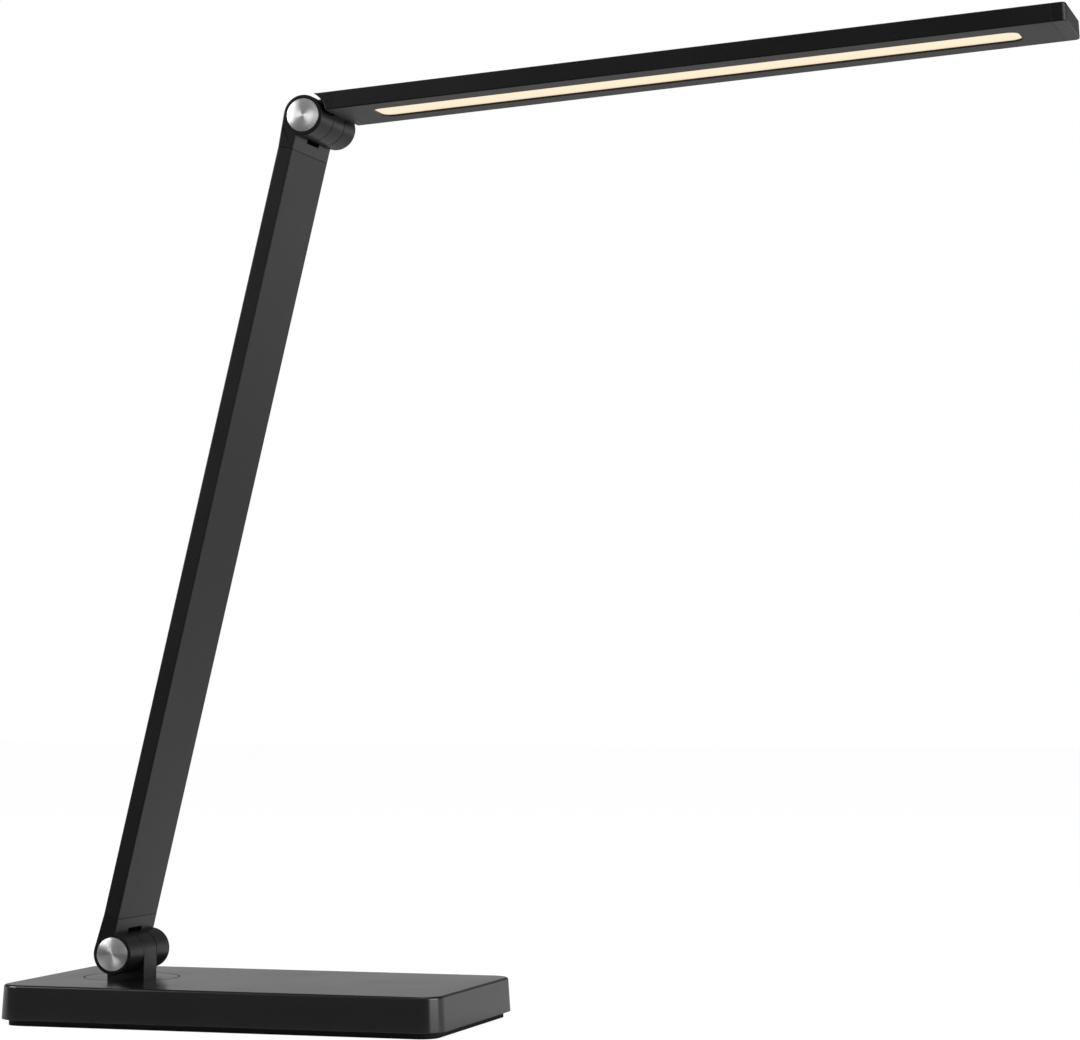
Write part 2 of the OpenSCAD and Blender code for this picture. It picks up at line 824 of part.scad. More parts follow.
module led_board() {
    board_low = head_inner_top - led_board_thick;
    color(nylon_colour)
    in_head() {
        translate([led_board_x0, -led_board_wid / 2, board_low])
            cube([led_board_len, led_board_wid, led_board_thick]);
        for (i = [0:led_count - 1], row = [-0.5, 0.5])
            translate([
                window_mid + (i + 0.5 - led_count / 2) * led_pitch - led_len / 2,
                row * led_row_pitch - led_wid / 2,
                board_low - led_high
            ])
                cube([led_len, led_wid, led_high + led_board_thick / 2]);
    }
}

// Opal sheet on the inside of the underside, with a pad that stands in the window
module diffuser() {
    color(lit_colour)
    in_head() {
        translate([window_mid, 0, head_inner_low]) linear_extrude(diffuser_thick)
            rounded_rect(sheet_len, sheet_wid, window_corner + diffuser_rim);
        translate([0, 0, head_low + window_recess]) linear_extrude(head_wall - window_recess + diffuser_thick / 2)
            window_outline(-window_gap);
    }
}

// Plug that closes the free end, with rounded upright corners
module head_end_cap() {
    color(cast_colour)
    in_head() {
        intersection() {
            head_bar(housing_end, head_reach);
            translate([housing_end, 0, head_low - cut]) linear_extrude(head_thick + 2 * cut) {
                translate([-hinge_wid / 2 + cap_show, 0])
                    rounded_rect(hinge_wid, hinge_wid, cap_corner);
            }
        }
        head_hollow(housing_end - cap_plug, housing_end + cap_show / 2);
    }
}

module head_lead() {
    in_head() lead([-duct_mouth, 0, duct_x], [led_board_x0, 0, duct_x]);
}

base_housing();
bottom_plate();
foot_mat();
ballast_plate();
control_board();
touch_board();
dc_jack();
base_screws();
base_lead();
slip_ring();
turntable_disc();
swivel_bracket();
bracket_screws();
wave_washer();
retaining_ring();
retainer_screws();
lower_bush();
bracket_lead();
arm_tube();
lower_fork();
upper_fork();
lower_hinge_pin();
upper_hinge_pin();
lower_hinge_washers();
upper_hinge_washers();
lower_cap_near();
lower_cap_far();
upper_cap_near();
upper_cap_far();
arm_lead();
head_end_piece();
upper_bush();
head_housing();
led_board();
diffuser();
head_end_cap();
head_lead();
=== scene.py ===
"""Folding desk lamp: the visible pieces, their finishes and the studio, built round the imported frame."""

import json
import logging
import math
from collections.abc import Callable, Iterable, Sequence
from dataclasses import dataclass, field
from enum import Enum

import bmesh
import bpy
from bmesh.types import BMEdge, BMesh, BMFace, BMVert
from mathutils import Matrix, Vector


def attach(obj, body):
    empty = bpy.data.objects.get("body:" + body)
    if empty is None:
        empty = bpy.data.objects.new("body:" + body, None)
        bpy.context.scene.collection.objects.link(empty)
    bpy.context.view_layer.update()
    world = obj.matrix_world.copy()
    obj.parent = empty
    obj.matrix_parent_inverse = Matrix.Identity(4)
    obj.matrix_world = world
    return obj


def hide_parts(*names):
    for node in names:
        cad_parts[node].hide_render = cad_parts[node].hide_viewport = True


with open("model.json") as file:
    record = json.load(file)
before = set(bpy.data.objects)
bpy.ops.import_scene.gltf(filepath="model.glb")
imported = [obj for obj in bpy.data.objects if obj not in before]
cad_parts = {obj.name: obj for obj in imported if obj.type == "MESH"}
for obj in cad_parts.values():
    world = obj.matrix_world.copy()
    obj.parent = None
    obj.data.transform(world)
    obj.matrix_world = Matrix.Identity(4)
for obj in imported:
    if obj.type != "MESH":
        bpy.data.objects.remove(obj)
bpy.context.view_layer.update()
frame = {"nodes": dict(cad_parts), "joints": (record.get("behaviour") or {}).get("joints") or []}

log = logging.getLogger("lamp")

# Metres in a millimetre, and the distance in millimetres under which two points are one
MM = 0.001
WELD = 0.002
# Where the middle point of a small rounded rim lies, as a share of the rim's width
KNEE = 0.3
# How far past a barrel's radius the edges of its own rim may reach
RIM_SLACK = 0.05
# Sizes that more than one piece has: the base's top, a blade's long edges, the corners inside a tube
BASE_TOP = 17.7
LONG_EDGE = 0.6
INNER_CORNER = 0.2


class Body(str, Enum):
    """The rigid bodies of the lamp."""

    BASE = "base"
    TURNTABLE = "turntable"
    ARM = "arm"
    HEAD = "head"


# Places


def joint_place(name: str) -> Vector:
    """Gives a joint's point in millimetres.

    Args:
        name: The joint's name in the record.

    Returns:
        The point that the joint turns about.
    """
    joint = next(j for j in frame["joints"] if j["name"] == name)
    return Vector(joint["pos_m"]) / MM


SWIVEL = joint_place("base_swivel")
LOWER_AXIS = joint_place("arm_tilt")
UPPER_AXIS = joint_place("head_tilt")
ARM_LEAN = math.atan2(UPPER_AXIS.x - LOWER_AXIS.x, UPPER_AXIS.z - LOWER_AXIS.z)
ARM_SPAN = (UPPER_AXIS - LOWER_AXIS).length
HEAD_RISE = math.radians(3.6)

AT_SWIVEL = Matrix.Translation((SWIVEL.x, 0, 0))
AT_LOWER_AXIS = Matrix.Translation(LOWER_AXIS)
IN_ARM = AT_LOWER_AXIS @ Matrix.Rotation(ARM_LEAN, 4, "Y")
AT_UPPER_FORK = IN_ARM @ Matrix.Translation((0, 0, ARM_SPAN)) @ Matrix.Scale(-1, 4, (0, 0, 1))
AT_UPPER_AXIS = Matrix.Translation(UPPER_AXIS)
IN_HEAD = AT_UPPER_AXIS @ Matrix.Rotation(-HEAD_RISE, 4, "Y")
MIRROR_Y = Matrix.Scale(-1, 4, (0, 1, 0))


# Mesh work, in millimetres


def rounded_loop(
    bm: BMesh, size: tuple[float, float], radius: float, place: Matrix, steps: int = 8
) -> list[BMEdge]:
    """Adds a rectangle with round corners as a loop of edges.

    Args:
        bm: The mesh.
        size: Width and depth.
        radius: Corner radius.
        place: Where the loop's own XY plane goes.
        steps: Edges per corner.

    Returns:
        The loop's edges.
    """
    corners = bmesh.ops.create_grid(bm, x_segments=1, y_segments=1, size=0.5)["verts"]
    bmesh.ops.scale(bm, vec=(size[0], size[1], 1), verts=corners)
    round_verts = bmesh.ops.bevel(
        bm, geom=corners, offset=radius, offset_type="OFFSET", segments=steps,
        profile=0.5, affect="VERTICES", material=-1,
    )["verts"]
    face = round_verts[0].link_faces[0]
    bmesh.ops.transform(bm, matrix=place, verts=list(face.verts))
    edges = list(face.edges)
    bmesh.ops.delete(bm, geom=[face], context="FACES_ONLY")
    return edges


def circle_loop(bm: BMesh, radius: float, place: Matrix, steps: int = 64) -> list[BMEdge]:
    """Adds a circle as a loop of edges.

    Args:
        bm: The mesh.
        radius: Its radius.
        place: Where the circle's own XY plane goes.
        steps: Edges round it.

    Returns:
        The circle's edges.
    """
    made = bmesh.ops.create_circle(bm, segments=steps, radius=radius, cap_ends=False, matrix=place)
    return list({edge for vert in made["verts"] for edge in vert.link_edges})


def rim_points(side: float, face: float, inward: float, deep: float) -> list[tuple[float, float]]:
    """Gives the three points of a small rounded rim, from a flat face round to a side.

    Args:
        side: Where the side lies.
        face: Where the flat face lies.
        inward: From the side to the first point, along the face.
        deep: From the face to the last point, along the side.

    Returns:
        The points as (side, face) pairs.
    """
    return [(side + inward, face), (side + KNEE * inward, face + KNEE * deep), (side, face + deep)]


def loft(bm: BMesh, loops: Sequence[list[BMEdge]], along: Sequence[float] = (0, 0, 1)) -> None:
    """Skins each loop of edges to the next.

    Args:
        bm: The mesh.
        loops: The loops in their order.
        along: The loops' common normal. Two loops in one plane are held apart along it while they
            are skinned, so that the skin isn't twisted.
    """
    normal = Vector(along)
    for near, far in zip(loops, loops[1:]):
        moved = list({v for e in far for v in e.verts})
        depths = [v.co.dot(normal) for e in near + far for v in e.verts]
        lift = normal if max(depths) - min(depths) < WELD else Vector()
        bmesh.ops.translate(bm, vec=lift, verts=moved)
        bmesh.ops.bridge_loops(bm, edges=near + far)
        bmesh.ops.translate(bm, vec=-lift, verts=moved)


def fill_ring(bm: BMesh, outer: list[BMEdge], inner: list[BMEdge], normal: Sequence[float]) -> None:
    """Fills the flat ground between two loops of edges."""
    bmesh.ops.triangle_fill(bm, use_beauty=True, use_dissolve=False, edges=outer + inner, normal=normal)


def close_loop(bm: BMesh, edges: list[BMEdge]) -> list[BMFace]:
    """Closes a loop of edges with one face and returns it in a list."""
    return bmesh.ops.edgeloop_fill(bm, edges=edges)["faces"]


def push_loop(bm: BMesh, edges: list[BMEdge], move: Sequence[float]) -> list[BMEdge]:
    """Extrudes a loop of edges.

    Args:
        bm: The mesh.
        edges: The loop.
        move: How far it goes.

    Returns:
        The new loop's edges.
    """
    made = bmesh.ops.extrude_edge_only(bm, edges=edges)["geom"]
    verts = [g for g in made if isinstance(g, BMVert)]
    bmesh.ops.translate(bm, vec=move, verts=verts)
    moved = set(verts)
    return [g for g in made if isinstance(g, BMEdge) and set(g.verts) <= moved]


def push_faces(bm: BMesh, faces: list[BMFace], move: Sequence[float], keep: bool = True) -> list[BMFace]:
    """Extrudes faces as one region.

    Args:
        bm: The mesh.
        faces: The region.
        move: How far it goes.
        keep: Whether the faces that it starts from stay, as they do under a flat sheet.

    Returns:
        The moved faces.
    """
    made = bmesh.ops.extrude_face_region(bm, geom=faces)["geom"]
    if not keep:
        bmesh.ops.delete(bm, geom=faces, context="FACES")
    bmesh.ops.translate(bm, vec=move, verts=[g for g in made if isinstance(g, BMVert)])
    return [g for g in made if isinstance(g, BMFace)]


def arc(
    bm: BMesh, radius: float, start_deg: float, end_deg: float, steps: int, y: float = 0.0
) -> tuple[BMVert, BMVert]:
    """Spins a point round the Y axis, with angles counted from +X towards +Z.

    Args:
        bm: The mesh.
        radius: The arc's radius.
        start_deg: Its first angle.
        end_deg: Its last angle.
        steps: Edges along it.
        y: Its place along Y.

    Returns:
        The arc's two end points.
    """
    angle = math.radians(start_deg)
    first = bm.verts.new((radius * math.cos(angle), y, radius * math.sin(angle)))
    last = bmesh.ops.spin(
        bm, geom=[first], cent=(0, y, 0), axis=(0, -1, 0), dvec=(0, 0, 0),
        angle=math.radians(end_deg - start_deg), steps=steps, use_duplicate=False,
    )["geom_last"]
    return first, next(g for g in last if isinstance(g, BMVert))


def fill_regions(bm: BMesh) -> list[BMFace]:
    """Fills the two regions of a divided flat outline.

    Args:
        bm: The mesh, which has no edges but the outline's.

    Returns:
        One face per region, without the face that the fill lays over the whole outline.
    """
    faces = bmesh.ops.edgenet_fill(bm, edges=bm.edges[:])["faces"]
    whole = max(faces, key=lambda f: f.calc_area())
    parts = [f for f in faces if f is not whole]
    if abs(whole.calc_area() - sum(f.calc_area() for f in parts)) < WELD:
        bmesh.ops.delete(bm, geom=[whole], context="FACES_ONLY")
        return parts
    return faces


def chain(bm: BMesh, *stops: BMVert | Sequence[float]) -> None:
    """Joins points and vertices by straight edges.

    Args:
        bm: The mesh.
        *stops: The points and vertices in their order.
    """
    verts = [s if isinstance(s, BMVert) else bm.verts.new(s) for s in stops]
    for near, far in zip(verts, verts[1:]):
        bm.edges.new((near, far))


def lathe(
    bm: BMesh, outline: Sequence[tuple[float, float]], axis: str, steps: int = 96
) -> None:
    """Spins an outline of (radius, height) points a full turn about Z or Y.

    Args:
        bm: The mesh.
        outline: The points, which may start and end on the axis.
        axis: "Z" or "Y", the axis that the heights lie along.
        steps: Faces round the axis.
    """
    verts = [bm.verts.new((r, 0, h) if axis == "Z" else (r, h, 0)) for r, h in outline]
    edges = [bm.edges.new(pair) for pair in zip(verts, verts[1:])]
    bmesh.ops.spin(
        bm, geom=verts + edges, cent=(0, 0, 0), axis=(0, 0, 1) if axis == "Z" else (0, 1, 0),
        dvec=(0, 0, 0), angle=math.tau, steps=steps, use_merge=True, use_duplicate=False,
    )
    bmesh.ops.remove_doubles(bm, verts=bm.verts, dist=WELD)


def soften(bm: BMesh, edges: Iterable[BMEdge], width: float, steps: int = 3) -> None:
    """Rounds edges with a bevel.

    Args:
        bm: The mesh.
        edges: The edges.
        width: The bevel's width.
        steps: Faces across it.
    """
    bmesh.ops.bevel(
        bm, geom=list(edges), offset=width, offset_type="OFFSET", segments=steps,
        profile=0.5, affect="EDGES", material=-1,
    )


def sharp(bm: BMesh, test: Callable[[Vector, Vector], bool], degrees: float = 30.0) -> list[BMEdge]:
    """Finds the edges whose faces meet at more than an angle.

    Args:
        bm: The mesh.
        test: Says yes to an edge by its two end points.
        degrees: The smallest angle.

    Returns:
        The edges.
    """
    bm.normal_update()
    return [
        e for e in bm.edges
        if len(e.link_faces) == 2 and e.calc_face_angle(0.0) > math.radians(degrees)
        and test(e.verts[0].co, e.verts[1].co)
    ]


def flat_face(bm: BMesh, y: float, test: Callable[[Vector], bool]) -> BMFace:
    """Finds a face that stands across the Y axis.

    Args:
        bm: The mesh.
        y: Where the face lies.
        test: Says yes to the face by its middle.

    Returns:
        The first such face.
    """
    return next(
        f for f in bm.faces
        if all(abs(v.co.y - y) < WELD for v in f.verts) and test(f.calc_center_bounds())
    )


def pierce(bm: BMesh, face: BMFace, hole: list[BMEdge]) -> None:
    """Opens a flat face round a loop of edges that lies in it.

    Args:
        bm: The mesh.
        face: The face, which is used up.
        hole: The loop, which becomes the opening's rim.
    """
    rim, normal = list(face.edges), face.normal.copy()
    bmesh.ops.delete(bm, geom=[face], context="FACES_ONLY")
    fill_ring(bm, rim, hole, normal)


def add_tongue(bm: BMesh, seam: list[BMFace], root: list[BMEdge], move: Sequence[float]) -> None:
    """Draws a loop that lies in a seam's flat face out into a closed tongue.

    Args:
        bm: The mesh.
        seam: The faces that make the flat end.
        root: The tongue's outline in that end.
        move: The tongue's length and direction.
    """
    if len(seam) > 1:
        seam = bmesh.ops.dissolve_faces(bm, faces=seam, use_verts=True)["region"]
    bm.normal_update()
    pierce(bm, seam[0], root)
    close_loop(bm, push_loop(bm, root, move))


def mirror_half(bm: BMesh) -> None:
    """Completes a half that ends open at y = 0."""
    geom = bm.verts[:] + bm.edges[:] + bm.faces[:]
    bmesh.ops.mirror(bm, geom=geom, matrix=Matrix.Identity(4), axis="Y", merge_dist=WELD)


ALONG_X = Matrix.Rotation(math.radians(90), 4, "Y")
ALONG_Y = Matrix.Rotation(math.radians(90), 4, "X")


def across(y: float) -> Matrix:
    """Gives the place of a loop that stands across the Y axis."""
    return Matrix.Translation((0, y, 0)) @ ALONG_Y


def level(z: float, x: float = 0.0, y: float = 0.0) -> Matrix:
    """Gives the place of a loop that lies level."""
    return Matrix.Translation((x, y, z))


# Finishes


class Nodes:
    """A short way to write a node tree."""

    def __init__(self, tree: bpy.types.NodeTree) -> None:
        """Takes the tree that the nodes go into."""
        self.tree = tree

    def add(self, kind: str, inputs: dict | None = None, **settings: object) -> bpy.types.Node:
        """Adds a node.

        Args:
            kind: The node's type without its "ShaderNode" prefix.
            inputs: A value or an output socket for each named input.
            **settings: The node's own properties.

        Returns:
            The node.
        """
        node = self.tree.nodes.new(kind if kind.startswith("Node") else "ShaderNode" + kind)
        for name, value in settings.items():
            setattr(node, name, value)
        for name, value in (inputs or {}).items():
            if isinstance(value, bpy.types.NodeSocket):
                self.tree.links.new(value, node.inputs[name])
            else:
                node.inputs[name].default_value = value
        return node

    def group(self, tree: bpy.types.NodeTree, **inputs: object) -> bpy.types.Node:
        """Places a node group with its own values.

        Args:
            tree: The group's tree.
            **inputs: A value or an output socket for each named input, with _ for each space.

        Returns:
            The group's node.
        """
        node = self.tree.nodes.new("ShaderNodeGroup")
        node.node_tree = tree
        for name, value in inputs.items():
            socket = node.inputs[name.replace("_", " ")]
            if isinstance(value, bpy.types.NodeSocket):
                self.tree.links.new(value, socket)
            else:
                socket.default_value = value
        return node

    def math(self, operation: str, a: object, b: object = 0.0) -> bpy.types.NodeSocket:
        """Adds a math node.

        Args:
            operation: What it does.
            a: Its first value or socket.
            b: Its second value or socket.

        Returns:
            The result's socket.
        """
        node = self.add("Math", operation=operation)
        for socket, value in zip(node.inputs, (a, b)):
            if isinstance(value, bpy.types.NodeSocket):
                self.tree.links.new(value, socket)
            else:
                socket.default_value = value
        return node.outputs[0]

    def span(
        self, value: object, low: float, high: float, to_low: float, to_high: float
    ) -> bpy.types.NodeSocket:
        """Maps a value from one range to another, held at its ends.

        Args:
            value: The value or its socket.
            low: The first range's start.
            high: The first range's end.
            to_low: What the start becomes.
            to_high: What the end becomes.

        Returns:
            The result's socket.
        """
        return self.add("MapRange", {
            "Value": value, "From Min": low, "From Max": high, "To Min": to_low, "To Max": to_high,
        }).outputs["Result"]

    def mix(self, share: object, low: object, high: object) -> bpy.types.NodeSocket:
        """Mixes two colours.

        Args:
            share: How much of the second there is, from 0 to 1.
            low: The first colour.
            high: The second colour.

        Returns:
            The mixed colour's socket.
        """
        node = self.add("Mix", data_type="RGBA")
        for index, value in ((0, share), (6, low), (7, high)):
            if isinstance(value, bpy.types.NodeSocket):
                self.tree.links.new(value, node.inputs[index])
            else:
                node.inputs[index].default_value = value
        return node.outputs[2]


def colour(r: float, g: float | None = None, b: float | None = None) -> tuple[float, float, float, float]:
    """Gives a linear colour with full alpha, grey if only one value is given."""
    return (r, r if g is None else g, r if b is None else b, 1.0)


def new_group(
    name: str, inputs: dict[str, object], outputs: dict[str, str]
) -> tuple[bpy.types.NodeTree, Nodes, bpy.types.Node, bpy.types.Node]:
    """Makes a shader node group with named sockets.

    Args:
        name: The group's name.
        inputs: A default for each input: a number, or None for a vector.
        outputs: The socket type of each output.

    Returns:
        The tree, a writer for it, and its input and output nodes.
    """
    tree = bpy.data.node_groups.new(name, "ShaderNodeTree")
    for label, default in inputs.items():
        kind = "NodeSocketVector" if default is None else "NodeSocketFloat"
        socket = tree.interface.new_socket(label, in_out="INPUT", socket_type=kind)
        if default is not None:
            socket.default_value = default
    for label, kind in outputs.items():
        tree.interface.new_socket(label, in_out="OUTPUT", socket_type=kind)
    nodes = Nodes(tree)
    return tree, nodes, nodes.add("NodeGroupInput"), nodes.add("NodeGroupOutput")


def coat_grain_group() -> bpy.types.NodeTree:
    """Builds the fine grain of a coated or moulded surface.

    Returns:
        A group that turns a place and a grain size in millimetres into a height, a tone that drifts
        slowly over the surface, and a mask of small pale specks.
    """
    tree, nodes, given, out = new_group(
        "coat_grain",
        {"Vector": None, "Grain mm": 0.3, "Drift mm": 30.0, "Speck mm": 1.2},
        {"Height": "NodeSocketFloat", "Tone": "NodeSocketFloat", "Specks": "NodeSocketFloat"},
    )
    grain = nodes.add("TexNoise", {
        "Vector": given.outputs["Vector"], "Scale": nodes.math("DIVIDE", 1000.0, given.outputs["Grain mm"]),
        "Detail": 3.0, "Roughness": 0.55,
    })
    drift = nodes.add("TexNoise", {
        "Vector": given.outputs["Vector"], "Scale": nodes.math("DIVIDE", 1000.0, given.outputs["Drift mm"]),
        "Detail": 2.0, "Roughness": 0.5,
    })
    specks = nodes.add("TexVoronoi", {
        "Vector": given.outputs["Vector"], "Scale": nodes.math("DIVIDE", 1000.0, given.outputs["Speck mm"]),
    })
    links = tree.links
    links.new(grain.outputs["Fac"], out.inputs["Height"])
    links.new(drift.outputs["Fac"], out.inputs["Tone"])
    links.new(nodes.span(specks.outputs["Distance"], 0.10, 0.26, 1.0, 0.0), out.inputs["Specks"])
    return tree


COAT_GRAIN = coat_grain_group()


def new_material(name: str) -> tuple[bpy.types.Material, Nodes, bpy.types.Node, bpy.types.NodeSocket]:
    """Makes an empty node material.

    Args:
        name: The material's name.

    Returns:
        The material, a writer for its nodes, its Principled shader and the Object coordinates.
    """
    material = bpy.data.materials.new(name)
    material.use_nodes = True
    nodes = Nodes(material.node_tree)
    shader = material.node_tree.nodes["Principled BSDF"]
    return material, nodes, shader, nodes.add("TexCoord").outputs["Object"]


def link(nodes: Nodes, value: bpy.types.NodeSocket, shader: bpy.types.Node, name: str) -> None:
    """Links a value to one of a shader's inputs."""
    nodes.tree.links.new(value, shader.inputs[name])


@dataclass(frozen=True)
class TouchMark:
    """A thin plain ring printed on a level top, to show where to touch it, in millimetres."""

    x: float
    y: float
    top: float
    radius: float = 4.2
    half_line: float = 0.3
    soft: float = 0.09
    depth: float = 0.2
    ink: tuple[float, float, float, float] = colour(0.05)

    def mask(self, nodes: Nodes, place: bpy.types.NodeSocket) -> bpy.types.NodeSocket:
        """Works out where the ring's ink lies.

        Args:
            nodes: The writer of the material's nodes.
            place: The Object coordinates.

        Returns:
            The ink's share, from 0 to 1.
        """
        parts = nodes.add("SeparateXYZ", {"Vector": place}).outputs
        squares = []
        for axis, centre in (("X", self.x), ("Y", self.y)):
            away = nodes.math("ABSOLUTE", nodes.math("SUBTRACT", parts[axis], centre * MM))
            squares.append(nodes.math("POWER", away, 2.0))
        distance = nodes.math("SQRT", nodes.math("ADD", *squares))
        off_ring = nodes.math("ABSOLUTE", nodes.math("SUBTRACT", distance, self.radius * MM))
        line = nodes.span(off_ring, (self.half_line - self.soft) * MM, self.half_line * MM, 1.0, 0.0)
        skin = (self.top - self.depth) * MM
        on_top = nodes.span(parts["Z"], skin, skin + 0.5 * self.depth * MM, 0.0, 1.0)
        return nodes.math("MULTIPLY", line, on_top)


@dataclass(frozen=True)
class Coating:
    """A dark coat or moulded skin with a fine grain, a drifting tone and small specks."""

    name: str
    dark: tuple[float, float, float, float]
    pale: tuple[float, float, float, float]
    rough: tuple[float, float]
    grain_mm: float
    grain_depth: float
    speck_share: float = 0.0
    speck_mm: float = 1.2
    drift_mm: float = 30.0
    specular: float = 0.5
    metallic: float = 0.0
    mark: TouchMark | None = None
    tone_span: tuple[float, float] = (0.1, 0.9)
    speck_lift: float = 1.8

    def build(self) -> bpy.types.Material:
        """Builds the material.

        Returns:
            The material.
        """
        material, nodes, shader, place = new_material(self.name)
        grain = nodes.group(
            COAT_GRAIN, Vector=place, Grain_mm=self.grain_mm, Drift_mm=self.drift_mm, Speck_mm=self.speck_mm
        )
        tone = nodes.span(grain.outputs["Tone"], *self.tone_span, 0.0, 1.0)
        ground = nodes.mix(tone, self.dark, self.pale)
        speck = nodes.math("MULTIPLY", grain.outputs["Specks"], self.speck_share)
        lifted = tuple(min(1.0, self.speck_lift * c) for c in self.pale[:3]) + (1.0,)
        skin = nodes.mix(speck, ground, lifted)
        if self.mark:
            skin = nodes.mix(self.mark.mask(nodes, place), skin, self.mark.ink)
        link(nodes, skin, shader, "Base Color")
        rough = nodes.span(grain.outputs["Tone"], *self.tone_span, *self.rough)
        link(nodes, rough, shader, "Roughness")
        bump = nodes.add("Bump", {
            "Height": grain.outputs["Height"], "Distance": self.grain_depth * MM, "Strength": 1.0,
        })
        link(nodes, bump.outputs["Normal"], shader, "Normal")
        shader.inputs["Specular IOR Level"].default_value = self.specular
        shader.inputs["Metallic"].default_value = self.metallic
        return material


@dataclass(frozen=True)
class SpunMetal:
    """Silver that was turned on a lathe, with fine rings about an axis along Y."""

    name: str
    centre: tuple[float, float]
    tint: tuple[float, float, float, float] = colour(0.92, 0.92, 0.93)
    ring_mm: float = 0.6
    ring_depth: float = 0.0002
    rough: tuple[float, float] = (0.33, 0.36)
    stretch: float = 0.85
    stretch_turn: float = 0.25
    worn_tint: tuple[float, float, float, float] = colour(0.74, 0.74, 0.76)
    worn_share: float = 0.35

    def build(self) -> bpy.types.Material:
        """Builds the material.

        Returns:
            The material.
        """
        material, nodes, shader, place = new_material(self.name)
        centred = nodes.add("Mapping", {
            "Vector": place, "Location": (-self.centre[0] * MM, 0.0, -self.centre[1] * MM),
        })
        rings = nodes.add("TexWave", {
            "Vector": centred.outputs["Vector"], "Scale": 0.1 / (self.ring_mm * MM),
            "Distortion": 0.4, "Detail": 1.0, "Detail Scale": 0.6,
        }, wave_type="RINGS", rings_direction="Y", wave_profile="SIN")
        worn = nodes.add("TexNoise", {"Vector": centred.outputs["Vector"], "Scale": 260.0, "Detail": 2.0})
        share = nodes.span(worn.outputs["Fac"], 0.35, 0.7, 0.0, self.worn_share)
        link(nodes, nodes.mix(share, self.tint, self.worn_tint), shader, "Base Color")
        link(nodes, nodes.span(rings.outputs["Fac"], 0.0, 1.0, *self.rough), shader, "Roughness")
        bump = nodes.add("Bump", {
            "Height": rings.outputs["Fac"], "Distance": self.ring_depth * MM, "Strength": 1.0,
        })
        link(nodes, bump.outputs["Normal"], shader, "Normal")
        tangent = nodes.add("Tangent", direction_type="RADIAL", axis="Y")
        link(nodes, tangent.outputs["Tangent"], shader, "Tangent")
        shader.inputs["Metallic"].default_value = 1.0
        shader.inputs["Anisotropic"].default_value = self.stretch
        shader.inputs["Anisotropic Rotation"].default_value = self.stretch_turn
        return material


@dataclass(frozen=True)
class LitOpal:
    """An opal sheet lit from behind, a little weaker towards its long edges."""

    name: str
    middle: tuple[float, float, float, float] = colour(1.0, 0.85, 0.62)
    border: tuple[float, float, float, float] = colour(0.93, 0.72, 0.5)
    unlit_middle: tuple[float, float, float, float] = colour(0.16, 0.145, 0.12)
    unlit_border: tuple[float, float, float, float] = colour(0.14, 0.12, 0.09)
    half_width: float = 9.9
    even_share: float = 0.55
    strength: float = 0.87
    cloud_span: tuple[float, float] = (0.3, 0.7)

    def build(self) -> bpy.types.Material:
        """Builds the material.

        Returns:
            The material.
        """
        material, nodes, shader, place = new_material(self.name)
        parts = nodes.add("SeparateXYZ", {"Vector": place})
        aside = nodes.math("ABSOLUTE", parts.outputs["Y"])
        fade = nodes.span(aside, self.even_share * self.half_width * MM, self.half_width * MM, 0.0, 1.0)
        cloud = nodes.add("TexNoise", {"Vector": place, "Scale": 60.0, "Detail": 1.0})
        share = nodes.math("MULTIPLY", fade, nodes.span(cloud.outputs["Fac"], *self.cloud_span, 0.8, 1.0))
        glow = nodes.mix(share, self.middle, self.border)
        link(nodes, glow, shader, "Emission Color")
        link(nodes, nodes.mix(share, self.unlit_middle, self.unlit_border), shader, "Base Color")
        shader.inputs["Emission Strength"].default_value = self.strength
        link(nodes, nodes.span(cloud.outputs["Fac"], *self.cloud_span, 0.4, 0.5), shader, "Roughness")
        return material


